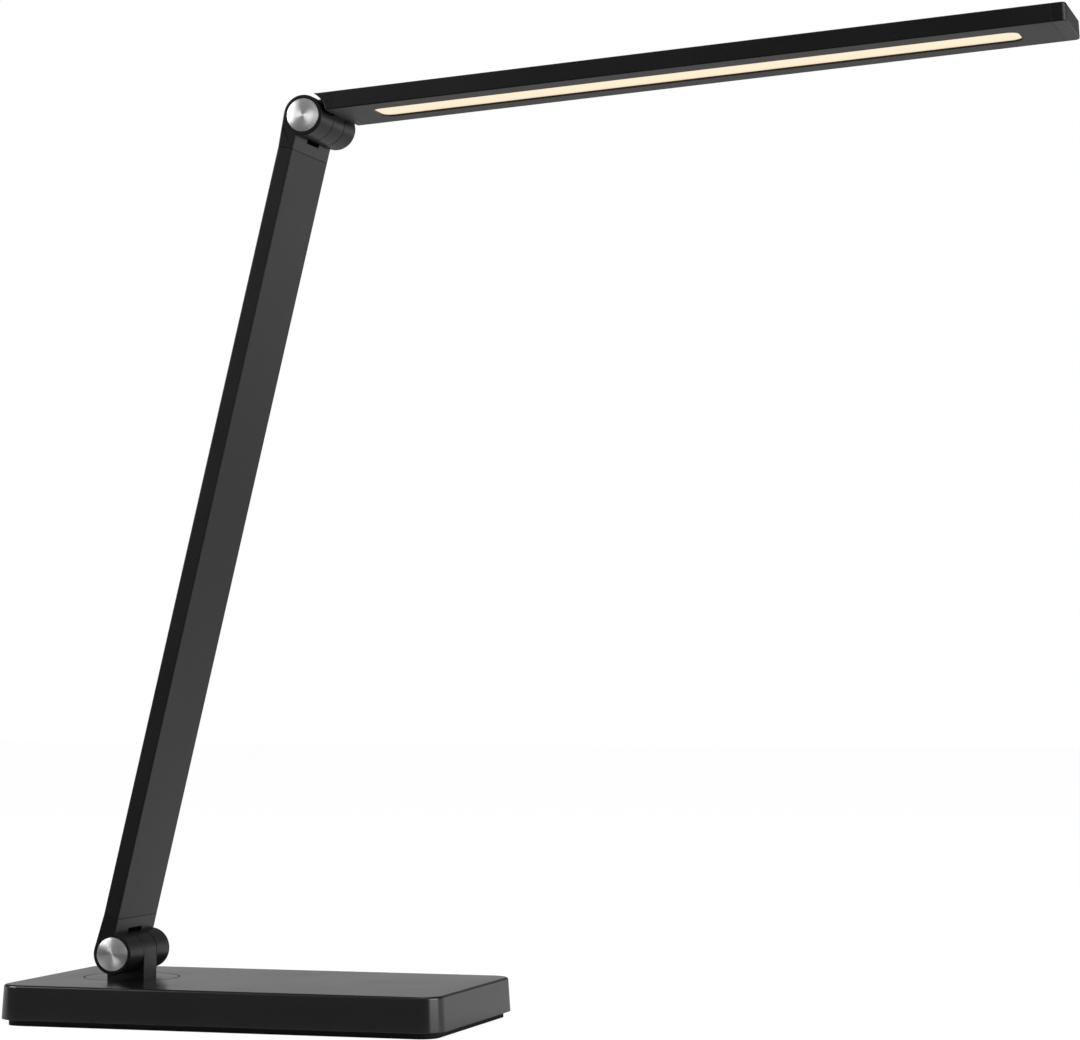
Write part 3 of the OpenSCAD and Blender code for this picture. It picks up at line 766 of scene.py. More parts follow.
class Finishes:
    """Every finish of the lamp, built once."""

    def __init__(self) -> None:
        """Builds the materials."""
        self.base_skin = Coating(
            "base_skin", colour(0.004), colour(0.006), (0.18, 0.22), 0.22, 0.0015, 0.15, 0.9, specular=0.75,
            mark=TouchMark(64.0, 3.0, BASE_TOP),
        ).build()
        self.powder_coat = Coating(
            "powder_coat", colour(0.004), colour(0.007), (0.34, 0.4), 0.45, 0.012, 0.5, 1.1, specular=0.35
        ).build()
        self.cast_coat = Coating(
            "cast_coat", colour(0.004), colour(0.006), (0.3, 0.36), 0.4, 0.008, 0.35, 1.0, specular=0.35
        ).build()
        self.plinth = Coating(
            "plinth", colour(0.004), colour(0.007), (0.6, 0.75), 0.5, 0.02, 0.0, 1.0, specular=0.3
        ).build()
        self.mat = Coating(
            "mat", colour(0.005), colour(0.009), (0.75, 0.9), 0.8, 0.05, 0.0, 1.0, specular=0.25
        ).build()
        self.steel = Coating(
            "steel", colour(0.42, 0.43, 0.44), colour(0.56, 0.57, 0.58), (0.25, 0.4), 0.2, 0.004, 0.1,
            metallic=1.0,
        ).build()
        self.circuit = Coating(
            "circuit", colour(0.01, 0.09, 0.04), colour(0.015, 0.13, 0.06), (0.3, 0.4), 1.5, 0.01, 0.3, 2.0
        ).build()
        self.nylon = Coating(
            "nylon", colour(0.66, 0.65, 0.6), colour(0.76, 0.75, 0.7), (0.45, 0.55), 0.5, 0.005
        ).build()
        self.board_white = Coating(
            "board_white", colour(0.74, 0.74, 0.72), colour(0.82, 0.82, 0.8), (0.35, 0.5), 0.8, 0.004
        ).build()
        self.lead_sleeve = Coating(
            "lead_sleeve", colour(0.01), colour(0.018), (0.55, 0.7), 0.6, 0.01
        ).build()
        self.inlet = Coating(
            "inlet", colour(0.008), colour(0.013), (0.35, 0.45), 0.4, 0.006
        ).build()
        self.contact = Coating(
            "contact", colour(0.72, 0.7, 0.64), colour(0.8, 0.78, 0.72), (0.18, 0.28), 0.15, 0.002,
            metallic=1.0,
        ).build()
        self.lower_silver = SpunMetal("lower_silver", (LOWER_AXIS.x, LOWER_AXIS.z)).build()
        self.upper_silver = SpunMetal("upper_silver", (UPPER_AXIS.x, UPPER_AXIS.z)).build()
        self.opal = LitOpal("opal").build()


# Pieces


@dataclass
class Piece:
    """A finished mesh and what it stands for."""

    name: str
    body: Body
    slot: str
    finish: bpy.types.Material
    replaces: tuple[str, ...] = ()
    crease_deg: float = 38.0
    weighted: bool = True

    def make(self, bm: BMesh, place: Matrix = Matrix.Identity(4)) -> bpy.types.Object:
        """Turns a mesh in millimetres into a scene object at the origin.

        Args:
            bm: The mesh, which is used up.
            place: Where the mesh goes.

        Returns:
            The object.
        """
        bmesh.ops.remove_doubles(bm, verts=bm.verts, dist=WELD)
        bmesh.ops.transform(bm, matrix=Matrix.Scale(MM, 4) @ place, verts=bm.verts)
        bmesh.ops.recalc_face_normals(bm, faces=bm.faces)
        open_edges = sum(1 for e in bm.edges if len(e.link_faces) != 2)
        mesh = bpy.data.meshes.new(self.name)
        bm.to_mesh(mesh)
        bm.free()
        mesh.shade_smooth()
        mesh.set_sharp_from_angle(angle=math.radians(self.crease_deg))
        mesh.materials.append(self.finish)
        obj = bpy.data.objects.new(self.name, mesh)
        bpy.context.scene.collection.objects.link(obj)
        if self.weighted:
            modifier = obj.modifiers.new("even_shading", "WEIGHTED_NORMAL")
            modifier.keep_sharp = True
        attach(obj, self.body.value)
        if self.replaces:
            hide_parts(*self.replaces)
        log.info("%s: %d faces, %d open edges", self.name, len(mesh.polygons), open_edges)
        return obj


def dress(finish: bpy.types.Material, *nodes: str) -> None:
    """Gives carried-over nodes a finish.

    Args:
        finish: The material.
        *nodes: The nodes' names.
    """
    for node in nodes:
        obj = frame["nodes"][node]
        obj.data.materials.clear()
        obj.data.materials.append(finish)
        log.info("%s: kept node", node)


@dataclass
class Inlet:
    """The low-voltage inlet in the rear wall, with its contact pin."""

    x: float = -20.0
    z: float = 10.2
    face_y: float = 53.7
    collar: float = 3.85
    bore: float = 2.85
    bore_deep: float = 9.0
    body_wid: float = 9.0
    body_high: float = 8.0
    body_deep: float = 12.0
    body_face: float = 51.5
    body_edge: float = 0.1
    rim: float = 0.2
    pin_radius: float = 1.05
    pin_back: float = 1.0
    pin_root: float = 0.5
    pin_dome: tuple[tuple[float, float], ...] = ((1.0, 0.6), (0.8, 0.2), (0.4, 0.0), (0.0, 0.0))

    def _place(self) -> Matrix:
        """Gives the inlet's own frame, with Y out of the wall."""
        return Matrix.Translation((self.x, 0, self.z))

    def socket(self) -> BMesh:
        """Builds the body and the collar with its bore in one shell.

        Returns:
            The mesh, in the inlet's own frame.
        """
        bm = bmesh.new()
        block = bmesh.ops.create_cube(bm, size=1.0)["verts"]
        middle = Matrix.Translation((0, self.body_face - self.body_deep / 2, 0))
        size = Matrix.Diagonal((self.body_wid, self.body_deep, self.body_high, 1))
        bmesh.ops.transform(bm, matrix=middle @ size, verts=block)
        hidden = [e for e in bm.edges if min(v.co.y for v in e.verts) < self.body_face - WELD]
        soften(bm, hidden, self.body_edge, 2)
        face, rim = self.face_y, self.rim
        steps = (
            (self.collar, self.body_face), (self.collar, face - rim), (self.collar - rim, face),
            (self.bore + rim, face), (self.bore, face - rim), (self.bore, face - self.bore_deep),
        )
        rings = [circle_loop(bm, radius, across(y), 48) for radius, y in steps]
        bm.normal_update()
        pierce(bm, flat_face(bm, self.body_face, lambda c: True), rings[0])
        loft(bm, rings, (0, 1, 0))
        close_loop(bm, rings[-1])
        return bm

    def pin(self) -> BMesh:
        """Builds the centre pin, whose domed tip is given as shares of the radius and depths.

        Returns:
            The mesh, in the inlet's own frame.
        """
        bm = bmesh.new()
        root = self.face_y - self.bore_deep - self.pin_root
        tip = self.face_y - self.pin_back
        dome = [(share * self.pin_radius, tip - deep) for share, deep in self.pin_dome]
        lathe(bm, [(0.0, root), (self.pin_radius, root)] + dome, "Y", 24)
        return bm

    def build(self, finishes: Finishes) -> None:
        """Builds the inlet's two pieces.

        Args:
            finishes: The lamp's finishes.
        """
        Piece("inlet_socket", Body.BASE, "inlet_black", finishes.inlet, ("dc_jack",)).make(
            self.socket(), self._place()
        )
        Piece("inlet_pin", Body.BASE, "steel", finishes.contact, ("dc_jack",)).make(
            self.pin(), self._place()
        )


@dataclass
class BaseHousing:
    """The moulded cover of the base, its plinth and what is inside it."""

    inlet: Inlet
    length: float = 202.0
    width: float = 108.0
    height: float = BASE_TOP
    corner: float = 10.0
    flare: float = 0.9
    edge: float = 1.2
    wall: float = 2.0
    skin: float = 2.4
    foot: float = 2.6
    lip: float = 0.35
    recess_radius: float = 21.4
    recess_rim: float = 0.25
    recess_floor: float = 15.6
    seat_floor: float = 13.6
    hub_bore: float = 13.05
    inlet_gap: float = 0.3
    boss_inset: float = 12.0
    boss_radius: float = 3.5
    boss_foot: float = 3.6
    corner_steps: int = 14
    edge_steps: int = 5

    def _loop(self, bm: BMesh, out: float, z: float) -> list[BMEdge]:
        """Adds the base's outline at a height, moved out from the top's by an amount."""
        size = (self.length + 2 * out, self.width + 2 * out)
        return rounded_loop(bm, size, self.corner + out, level(z), self.corner_steps)

    def _outer_loops(self, bm: BMesh) -> list[list[BMEdge]]:
        """Adds the outside's loops.

        Args:
            bm: The mesh.

        Returns:
            The loops, from the top's rim down to the lip.
        """
        rim = [
            (-self.edge * (1 - math.cos(a)), self.height - self.edge * (1 - math.sin(a)))
            for a in (math.radians(90 * (1 - i / self.edge_steps)) for i in range(self.edge_steps + 1))
        ]
        lip = rim_points(self.flare, self.foot, -self.lip, self.lip)[::-1]
        return [self._loop(bm, out, z) for out, z in rim + lip]

    def shell(self) -> BMesh:
        """Builds the cover with its turntable recess, cavity, bosses and inlet hole.

        Returns:
            The mesh, in the lamp's own place.
        """
        bm = bmesh.new()
        outer = self._outer_loops(bm)
        ceiling = self.height - self.skin
        cavity = [self._loop(bm, -self.wall, z) for z in (self.foot, ceiling)]
        loft(bm, outer + cavity)
        radius, seat = self.recess_radius, self.recess_radius + self.wall
        steps = rim_points(radius, self.height, self.recess_rim, -self.recess_rim) + [
            (radius, self.recess_floor), (self.hub_bore, self.recess_floor),
            (self.hub_bore, self.seat_floor), (seat, self.seat_floor), (seat, ceiling),
        ]
        rings = [circle_loop(bm, r, level(z, SWIVEL.x), 96) for r, z in steps]
        loft(bm, rings)
        fill_ring(bm, outer[0], rings[0], (0, 0, 1))
        fill_ring(bm, cavity[-1], rings[-1], (0, 0, -1))
        self._open_inlet(bm)
        boss_x, boss_y = self.length / 2 - self.boss_inset, self.width / 2 - self.boss_inset
        for x in (-boss_x, boss_x):
            for y in (-boss_y, boss_y):
                self._add_boss(bm, x, y)
        return bm

    def _open_inlet(self, bm: BMesh) -> None:
        """Cuts the round inlet hole through the rear wall's two skins and joins them.

        Args:
            bm: The cover's mesh.
        """
        holes = []
        bm.normal_update()
        rear = [f for f in bm.faces if abs(f.normal.y) > 0.9 and f.calc_center_bounds().y > 0]
        inside = self.width / 2 - self.wall
        slope = self.flare / (self.height - self.edge - self.foot - self.lip)
        inner = [f for f in rear if abs(f.calc_center_bounds().y - inside) < WELD]
        outer = [f for f in rear if f not in inner]
        for skin, lean in ((outer, -slope), (inner, 0.0)):
            wall = max(skin, key=lambda f: f.calc_area())
            low = min(v.co.z for v in wall.verts)
            y_low = max(v.co.y for v in wall.verts)
            lie = Matrix.Identity(4)
            lie[1][2] = lean
            lie[1][3] = y_low - lean * low
            place = lie @ Matrix.Translation((self.inlet.x, 0, self.inlet.z)) @ ALONG_Y
            hole = circle_loop(bm, self.inlet.collar + self.inlet_gap, place, 40)
            pierce(bm, wall, hole)
            holes.append(hole)
        loft(bm, holes)

    def _add_boss(self, bm: BMesh, x: float, y: float) -> None:
        """Adds a screw boss that hangs from the top skin.

        Args:
            bm: The cover's mesh.
            x: The boss's place along the base.
            y: Its place across the base.
        """
        top = self.height - 0.5 * self.skin
        bmesh.ops.create_cone(
            bm, cap_ends=True, segments=32, radius1=self.boss_radius, radius2=self.boss_radius,
            depth=top - self.boss_foot, matrix=level((top + self.boss_foot) / 2, x, y),
        )

    def build(self, finishes: Finishes) -> None:
        """Builds the cover and dresses the nodes inside and under it.

        Args:
            finishes: The lamp's finishes.
        """
        Piece("base_cover", Body.BASE, "moulded_charcoal", finishes.base_skin, ("base_housing",)).make(
            self.shell()
        )
        dress(finishes.plinth, "bottom_plate")
        dress(finishes.mat, "foot_mat")
        dress(finishes.steel, "ballast_plate", "base_screws")
        dress(finishes.circuit, "control_board", "touch_board")
        dress(finishes.lead_sleeve, "base_lead")
        dress(finishes.nylon, "slip_ring")


@dataclass
class HingeSizes:
    """The sizes that both hinges share."""

    radius: float = 9.0
    width: float = 42.8
    barrel: float = 13.7
    gap: float = 0.3
    hollow: float = 10.8
    cap_seat: float = 7.75
    cap_mouth: float = 0.1
    cap_deep: float = 1.4
    cap_radius: float = 7.4
    cap_proud: float = 0.1
    cap_bevel: float = 0.3
    cap_stub: float = 2.0
    pin: float = 3.0
    bush: float = 4.55
    washer_seat: float = 6.1
    washer_deep: float = 0.7
    rim: float = 0.5
    slot_rim: float = 0.25

    @property
    def slot(self) -> float:
        """Half the width between the two knuckles."""
        return self.barrel / 2 + self.gap


def bore_barrel(bm: BMesh, hinge: HingeSizes, face: BMFace) -> None:
    """Opens a half barrel's end face with a washer seat and the bush's bore, down to y = 0.

    Args:
        bm: The mesh.
        hinge: The hinge's sizes.
        face: The end face, which is used up.
    """
    end = -hinge.barrel / 2
    seat = circle_loop(bm, hinge.washer_seat, across(end), 64)
    pierce(bm, face, seat)
    deep = push_loop(bm, seat, (0, hinge.washer_deep, 0))
    bore = circle_loop(bm, hinge.bush, across(end + hinge.washer_deep), 64)
    loft(bm, [deep, bore], (0, 1, 0))
    push_loop(bm, bore, (0, -end - hinge.washer_deep, 0))


@dataclass
class Turntable:
    """The flush disc, the bracket that stands on it and their fittings."""

    hinge: HingeSizes
    top: float = BASE_TOP
    radius: float = 21.0
    thick: float = 1.6
    rim: float = 0.3
    hub: float = 13.0
    hub_floor: float = 12.8
    pocket: float = 0.6
    blade_rim: float = 0.4
    blade_root: float = 1.0

    def disc(self) -> BMesh:
        """Builds the disc with its hub.

        Returns:
            The mesh, with the swivel's axis through the origin.
        """
        bm = bmesh.new()
        low = self.top - self.thick
        lathe(bm, [
            (0.0, self.top), *rim_points(self.radius, self.top, -self.rim, -self.rim),
            (self.radius, low), (self.hub, low), (self.hub, self.hub_floor), (0.0, self.hub_floor),
        ], "Z", 128)
        return bm

    def bracket(self) -> BMesh:
        """Builds the blade and its barrel.

        Returns:
            The mesh, with the hinge's axis through the origin.
        """
        hinge, bm = self.hinge, bmesh.new()
        foot = self.top - self.pocket - LOWER_AXIS.z
        end = -hinge.barrel / 2
        first, last = arc(bm, hinge.radius, 0, 180, 48, end)
        chain(bm, last, (-hinge.radius, end, foot), (hinge.radius, end, foot), first)
        face = close_loop(bm, bm.edges[:])
        moved = push_faces(bm, face, (0, -end, 0))
        bmesh.ops.delete(bm, geom=moved, context="FACES_ONLY")
        soften(bm, sharp(bm, lambda a, b: (
            abs(a.y - end) < WELD and abs(b.y - end) < WELD and (a.z + b.z) / 2 > foot + self.blade_root
        )), self.blade_rim)
        bore_barrel(bm, hinge, flat_face(bm, end, lambda c: True))
        mirror_half(bm)
        return bm

    def build(self, finishes: Finishes) -> None:
        """Builds the disc and the bracket and dresses the fittings.

        Args:
            finishes: The lamp's finishes.
        """
        Piece(
            "turntable_plate", Body.TURNTABLE, "moulded_charcoal", finishes.base_skin, ("turntable_disc",)
        ).make(self.disc(), AT_SWIVEL)
        Piece(
            "bracket_blade", Body.TURNTABLE, "cast_charcoal", finishes.cast_coat, ("swivel_bracket",)
        ).make(self.bracket(), AT_LOWER_AXIS)
        dress(finishes.steel, "bracket_screws", "wave_washer", "retaining_ring", "retainer_screws")
        dress(finishes.nylon, "lower_bush")
        dress(finishes.lead_sleeve, "bracket_lead")


@dataclass
class Arm:
    """The flat tube, its two forks, the pins and the silver discs."""

    hinge: HingeSizes
    thick: float = 7.1
    inner: float = -1.0
    wall: float = 1.2
    edge: float = LONG_EDGE
    seam: float = 15.5
    seam_chamfer: float = 0.16
    tongue: float = 18.0
    knuckle_steps: int = 64

    @property
    def outer(self) -> float:
        """The outer face's place across the arm."""
        return self.inner - self.thick

    @property
    def middle(self) -> float:
        """The middle of the arm's thickness."""
        return self.inner - self.thick / 2

    def _section(self, bm: BMesh, z: float, inset: float, radius: float) -> list[BMEdge]:
        """Adds the tube's section at a height, inset from the outline."""
        size = (self.thick - 2 * inset, self.hinge.width - 2 * inset)
        return rounded_loop(bm, size, radius, level(z, self.middle), 7)

    def tube(self) -> BMesh:
        """Builds the hollow tube with a fine chamfer at each seam.

        Returns:
            The mesh, in the arm's frame.
        """
        bm = bmesh.new()
        fine, low, high = self.seam_chamfer, self.seam, ARM_SPAN - self.seam
        outer = [
            self._section(bm, low, fine, self.edge - fine), self._section(bm, low + fine, 0, self.edge),
            self._section(bm, high - fine, 0, self.edge), self._section(bm, high, fine, self.edge - fine),
        ]
        inner = [self._section(bm, z, self.wall, INNER_CORNER) for z in (high, low)]
        loft(bm, outer + inner + outer[:1])
        return bm

    def _tangent_deg(self) -> float:
        """Gives the angle at which the neck's outer line touches the knuckle."""
        far = math.hypot(self.outer, self.seam)
        return math.degrees(math.atan2(self.seam, self.outer) + math.acos(self.hinge.radius / far))

    def _neck_crossing(self) -> float:
        """Works out where the neck's outer line crosses the hollow's circle.

        Returns:
            The angle of that point, in degrees.
        """
        touch = math.radians(self._tangent_deg())
        start = Vector((self.hinge.radius * math.cos(touch), self.hinge.radius * math.sin(touch)))
        run = Vector((self.outer, self.seam)) - start
        share = math.sqrt(self.hinge.hollow ** 2 - self.hinge.radius ** 2) / run.length
        point = start + share * run
        return math.degrees(math.atan2(point.y, point.x))

    def fork(self) -> BMesh:
        """Builds a fork: two knuckles on a neck that is hollowed round the barrel.

        Returns:
            The mesh, with the hinge axis along Y through the origin and the neck towards +Z.
        """
        hinge, bm = self.hinge, bmesh.new()
        end = -hinge.width / 2
        touch = self._tangent_deg()
        meet = math.degrees(math.acos(self.inner / hinge.radius))
        touch_vert, meet_vert = arc(bm, hinge.radius, touch, 360 + meet, self.knuckle_steps, end)
        hollow_meet = math.degrees(math.acos(self.inner / hinge.hollow))
        low_vert, high_vert = arc(bm, hinge.hollow, hollow_meet, self._neck_crossing(), 12, end)
        seam = [(x, end, self.seam) for x in (self.inner, self.outer)]
        chain(bm, meet_vert, low_vert, *seam, high_vert, touch_vert)
        faces = fill_regions(bm)
        moved = push_faces(bm, faces, (0, -end - hinge.slot, 0))
        neck = [f for f in moved if f.calc_center_bounds().z > hinge.radius / 2]
        far = push_faces(bm, neck, (0, hinge.slot, 0), keep=False)
        bmesh.ops.delete(bm, geom=far, context="FACES_ONLY")
        self._round_fork(bm, end)
        self._open_cap_seat(bm, end)
        mirror_half(bm)
        flat_end = [f for f in bm.faces if all(abs(v.co.z - self.seam) < WELD for v in f.verts)]
        root = self._section(bm, self.seam, self.wall, INNER_CORNER)
        add_tongue(bm, flat_end, root, (0, 0, self.tongue))
        return bm

    def _round_fork(self, bm: BMesh, end: float) -> None:
        """Rounds a half fork's outline, its slot and its seam.

        Args:
            bm: The mesh.
            end: Where the fork's outer face lies.
        """
        hinge = self.hinge

        def on(y: float) -> Callable[[Vector, Vector], bool]:
            """Makes the test of whether an edge lies across Y at a place, away from the seam.

            Args:
                y: The place.

            Returns:
                The test.
            """
            return lambda a, b: (
                abs(a.y - y) < WELD and abs(b.y - y) < WELD and min(a.z, b.z) < self.seam - WELD
            )

        soften(bm, sharp(bm, on(end)), hinge.rim, 4)
        reach = hinge.radius + RIM_SLACK
        knuckle = [e for e in sharp(bm, on(-hinge.slot)) if max(v.co.xz.length for v in e.verts) < reach]
        soften(bm, knuckle, hinge.slot_rim, 2)
        seam = sharp(bm, lambda a, b: min(a.z, b.z) > self.seam - WELD)
        soften(bm, seam, self.seam_chamfer, 1)

    def _open_cap_seat(self, bm: BMesh, end: float) -> None:
        """Sinks the silver disc's seat into a knuckle's end, and bores the knuckle for the pin.

        Args:
            bm: The half fork's mesh.
            end: Where the fork's outer face lies.
        """
        hinge = self.hinge
        face = flat_face(bm, end, lambda c: c.z < hinge.radius / 2)
        mouth = circle_loop(bm, hinge.cap_seat + hinge.cap_mouth, across(end), 96)
        pierce(bm, face, mouth)
        throat = circle_loop(bm, hinge.cap_seat, across(end + hinge.cap_mouth), 96)
        loft(bm, [mouth, throat], (0, 1, 0))
        floor = push_loop(bm, throat, (0, hinge.cap_deep - hinge.cap_mouth, 0))
        bore = circle_loop(bm, hinge.pin, across(end + hinge.cap_deep), 96)
        loft(bm, [floor, bore], (0, 1, 0))
        slot_face = flat_face(bm, -hinge.slot, lambda c: True)
        exit_loop = circle_loop(bm, hinge.pin, across(-hinge.slot), 96)
        pierce(bm, slot_face, exit_loop)
        loft(bm, [bore, exit_loop], (0, 1, 0))

    def cap(self) -> BMesh:
        """Builds a silver disc for the far end of a hinge, with its stub.

        Returns:
            The mesh, with the hinge's axis through the origin.
        """
        hinge, bm = self.hinge, bmesh.new()
        radius, bevel = hinge.cap_radius, hinge.cap_bevel
        face = hinge.width / 2 + hinge.cap_proud
        seat = hinge.width / 2 - hinge.cap_deep
        stub = seat - hinge.cap_stub
        lathe(bm, [
            (0.0, face), (0.5 * radius, face), *rim_points(radius, face, -bevel, -bevel),
            (radius, seat), (hinge.pin, seat), (hinge.pin, stub), (0.0, stub),
        ], "Y", 96)
        return bm

    def build(self, finishes: Finishes) -> None:
        """Builds the arm's pieces and dresses its pins, washers and lead.

        Args:
            finishes: The lamp's finishes.
        """
        Piece("arm_blade", Body.ARM, "coated_aluminium", finishes.powder_coat, ("arm_tube",)).make(
            self.tube(), IN_ARM
        )
        for end, place in (("lower", IN_ARM), ("upper", AT_UPPER_FORK)):
            Piece(
                f"{end}_fork_casting", Body.ARM, "cast_charcoal", finishes.cast_coat, (f"{end}_fork",)
            ).make(self.fork(), place)
        for end, place, silver in (
            ("lower", AT_LOWER_AXIS, finishes.lower_silver),
            ("upper", AT_UPPER_AXIS, finishes.upper_silver),
        ):
            for side, turn in (("far", Matrix.Identity(4)), ("near", MIRROR_Y)):
                Piece(
                    f"{end}_disc_{side}", Body.ARM, "spun_silver", silver,
                    (f"{end}_cap_{side}",), weighted=False,
                ).make(self.cap(), place @ turn)
            dress(finishes.steel, f"{end}_hinge_pin", f"{end}_hinge_washers")
        dress(finishes.lead_sleeve, "arm_lead")


@dataclass
class Head:
    """The head's end piece, its tube with the window, the lit strip and the end cap."""

    hinge: HingeSizes
    top: float = 9.0
    thick: float = 8.0
    wall: float = 1.2
    edge: float = LONG_EDGE
    nose: float = 10.5
    seam: float = 14.7
    tongue: float = 9.0
    cap_seam: float = 328.5
    reach: float = 334.5
    cap_corner: float = 2.5
    cap_plug: float = 8.0
    seam_chamfer: float = 0.14
    window: tuple[float, float] = (285.0, 20.0)
    window_start: float = 27.5
    window_corner: float = 5.0
    window_rim: float = 0.15
    sheet_rim: float = 2.0
    sheet_thick: float = 1.5
    recess: float = 0.8
    strip_gap: float = 0.1
    strip_rim: float = 0.25

    @property
    def low(self) -> float:
        """The underside's height in the head's frame."""
        return self.top - self.thick

    @property
    def window_mid(self) -> float:
        """The window's middle along the head."""
        return self.window_start + self.window[0] / 2

    def end_piece(self) -> BMesh:
        """Builds the barrel with its web and the two wings that end in hollow noses.

        Returns:
            The mesh, in the head's frame.
        """
        hinge, bm = self.hinge, bmesh.new()
        low_deg = math.degrees(math.asin(self.low / hinge.radius))
        nose_low = math.degrees(math.asin(self.low / self.nose))
        nose_high = math.degrees(math.asin(self.top / self.nose))
        crown, heel = arc(bm, hinge.radius, 90, 360 + low_deg, 56)
        toe, tip = arc(bm, self.nose, nose_low, nose_high, 16)
        chain(bm, heel, toe, (self.seam, 0, self.low), (self.seam, 0, self.top), tip, crown)
        faces = fill_regions(bm)
        moved = push_faces(bm, faces, (0, -hinge.barrel / 2, 0), keep=False)
        wing = [f for f in moved if f.calc_center_bounds().x > hinge.radius]
        push_faces(bm, wing, (0, hinge.barrel / 2 - hinge.width / 2, 0), keep=False)
        self._round_end_piece(bm)
        bore_barrel(bm, hinge, flat_face(bm, -hinge.barrel / 2, lambda c: c.x < hinge.radius))
        mirror_half(bm)
        self._add_tongue(bm, self.seam, self.tongue)
        return bm

    def _add_tongue(self, bm: BMesh, x: float, length: float) -> None:
        """Draws a tongue out of a flat end, into the tube.

        Args:
            bm: The mesh.
            x: The flat end's place along the head.
            length: The tongue's length, less than 0 towards the axis.
        """
        flat_end = [f for f in bm.faces if all(abs(v.co.x - x) < WELD for v in f.verts)]
        add_tongue(bm, flat_end, self._section(bm, x, self.wall, INNER_CORNER), (length, 0, 0))

    def _round_end_piece(self, bm: BMesh) -> None:
        """Rounds a half end piece's side, its barrel's rim and its seam.

        Args:
            bm: The mesh.
        """
        hinge, side, rim = self.hinge, -self.hinge.width / 2, -self.hinge.barrel / 2
        soften(bm, sharp(bm, lambda a, b: (
            abs(a.y - side) < WELD and abs(b.y - side) < WELD and min(a.x, b.x) < self.seam - WELD
        )), self.edge, 4)
        soften(bm, sharp(bm, lambda a, b: (
            abs(a.y - rim) < WELD and abs(b.y - rim) < WELD
            and max(a.xz.length, b.xz.length) < hinge.radius + RIM_SLACK
        )), hinge.slot_rim, 2)
        soften(bm, sharp(bm, lambda a, b: min(a.x, b.x) > self.seam - WELD), self.seam_chamfer, 1)

    def _section(self, bm: BMesh, x: float, inset: float, radius: float) -> list[BMEdge]:
        """Adds the tube's section at a distance, inset from the outline."""
        size = (self.thick - 2 * inset, self.hinge.width - 2 * inset)
        return rounded_loop(bm, size, radius, level(self.top - self.thick / 2, x) @ ALONG_X, 7)

    def _window_loop(self, bm: BMesh, grow: float, z: float) -> list[BMEdge]:
        """Adds the window's outline at a height, grown by an amount."""
        size = (self.window[0] + 2 * grow, self.window[1] + 2 * grow)
        return rounded_loop(bm, size, self.window_corner + grow, level(z, self.window_mid), 12)

    def housing(self) -> BMesh:
        """Builds the hollow tube with the window in its underside.

        Returns:
            The mesh, in the head's frame.
        """
        bm = bmesh.new()
        fine, near, far = self.seam_chamfer, self.seam, self.cap_seam
        outer = [
            self._section(bm, near, fine, self.edge - fine), self._section(bm, near + fine, 0, self.edge),
            self._section(bm, far - fine, 0, self.edge), self._section(bm, far, fine, self.edge - fine),
        ]
        inner = [self._section(bm, x, self.wall, INNER_CORNER) for x in (far, near)]
        loft(bm, outer + inner + outer[:1], (1, 0, 0))
        inside = self.low + self.wall
        rim = rim_points(0.0, self.low, self.window_rim, self.window_rim)
        rings = [self._window_loop(bm, grow, z) for grow, z in rim + [(0.0, inside)]]
        loft(bm, rings)
        for ring, z in ((rings[0], self.low), (rings[-1], inside)):
            level_faces = [f for f in bm.faces if all(abs(v.co.z - z) < WELD for v in f.verts)]
            bm.normal_update()
            pierce(bm, max(level_faces, key=lambda f: f.calc_area()), ring)
        return bm

    def strip(self) -> BMesh:
        """Builds the opal sheet with the pad that stands in the window.

        Returns:
            The mesh, in the head's frame.
        """
        bm = bmesh.new()
        gap, seat = -self.strip_gap, self.low + self.wall
        rim = rim_points(gap, self.low + self.recess, -self.strip_rim, self.strip_rim)
        sheet = [(gap, seat), (self.sheet_rim, seat), (self.sheet_rim, seat + self.sheet_thick)]
        rings = [self._window_loop(bm, grow, z) for grow, z in rim + sheet]
        loft(bm, rings)
        close_loop(bm, rings[0])
        close_loop(bm, rings[-1])
        return bm

    def end_cap(self) -> BMesh:
        """Builds the plug, with rounded upright corners and long edges and a tongue inside the tube.

        Returns:
            The mesh, in the head's frame.
        """
        bm = bmesh.new()
        depth, past_seam = self.reach - self.cap_seam, self.cap_seam + WELD
        corners = bmesh.ops.create_grid(bm, x_segments=1, y_segments=1, size=0.5)["verts"]
        size = Matrix.Diagonal((depth, self.hinge.width, 1, 1))
        bmesh.ops.transform(bm, matrix=level(self.low, self.cap_seam + depth / 2) @ size, verts=corners)
        far = [v for v in corners if v.co.x > past_seam]
        bmesh.ops.bevel(
            bm, geom=far, offset=self.cap_corner, offset_type="OFFSET", segments=10,
            profile=0.5, affect="VERTICES", material=-1,
        )
        push_faces(bm, bm.faces[:], (0, 0, self.thick))
        bmesh.ops.recalc_face_normals(bm, faces=bm.faces)
        long_edges = sharp(bm, lambda a, b: abs(a.z - b.z) < WELD and max(a.x, b.x) > past_seam)
        soften(bm, long_edges, self.edge, 5)
        soften(bm, sharp(bm, lambda a, b: max(a.x, b.x) < past_seam), self.seam_chamfer, 1)
        self._add_tongue(bm, self.cap_seam, -self.cap_plug)
        return bm

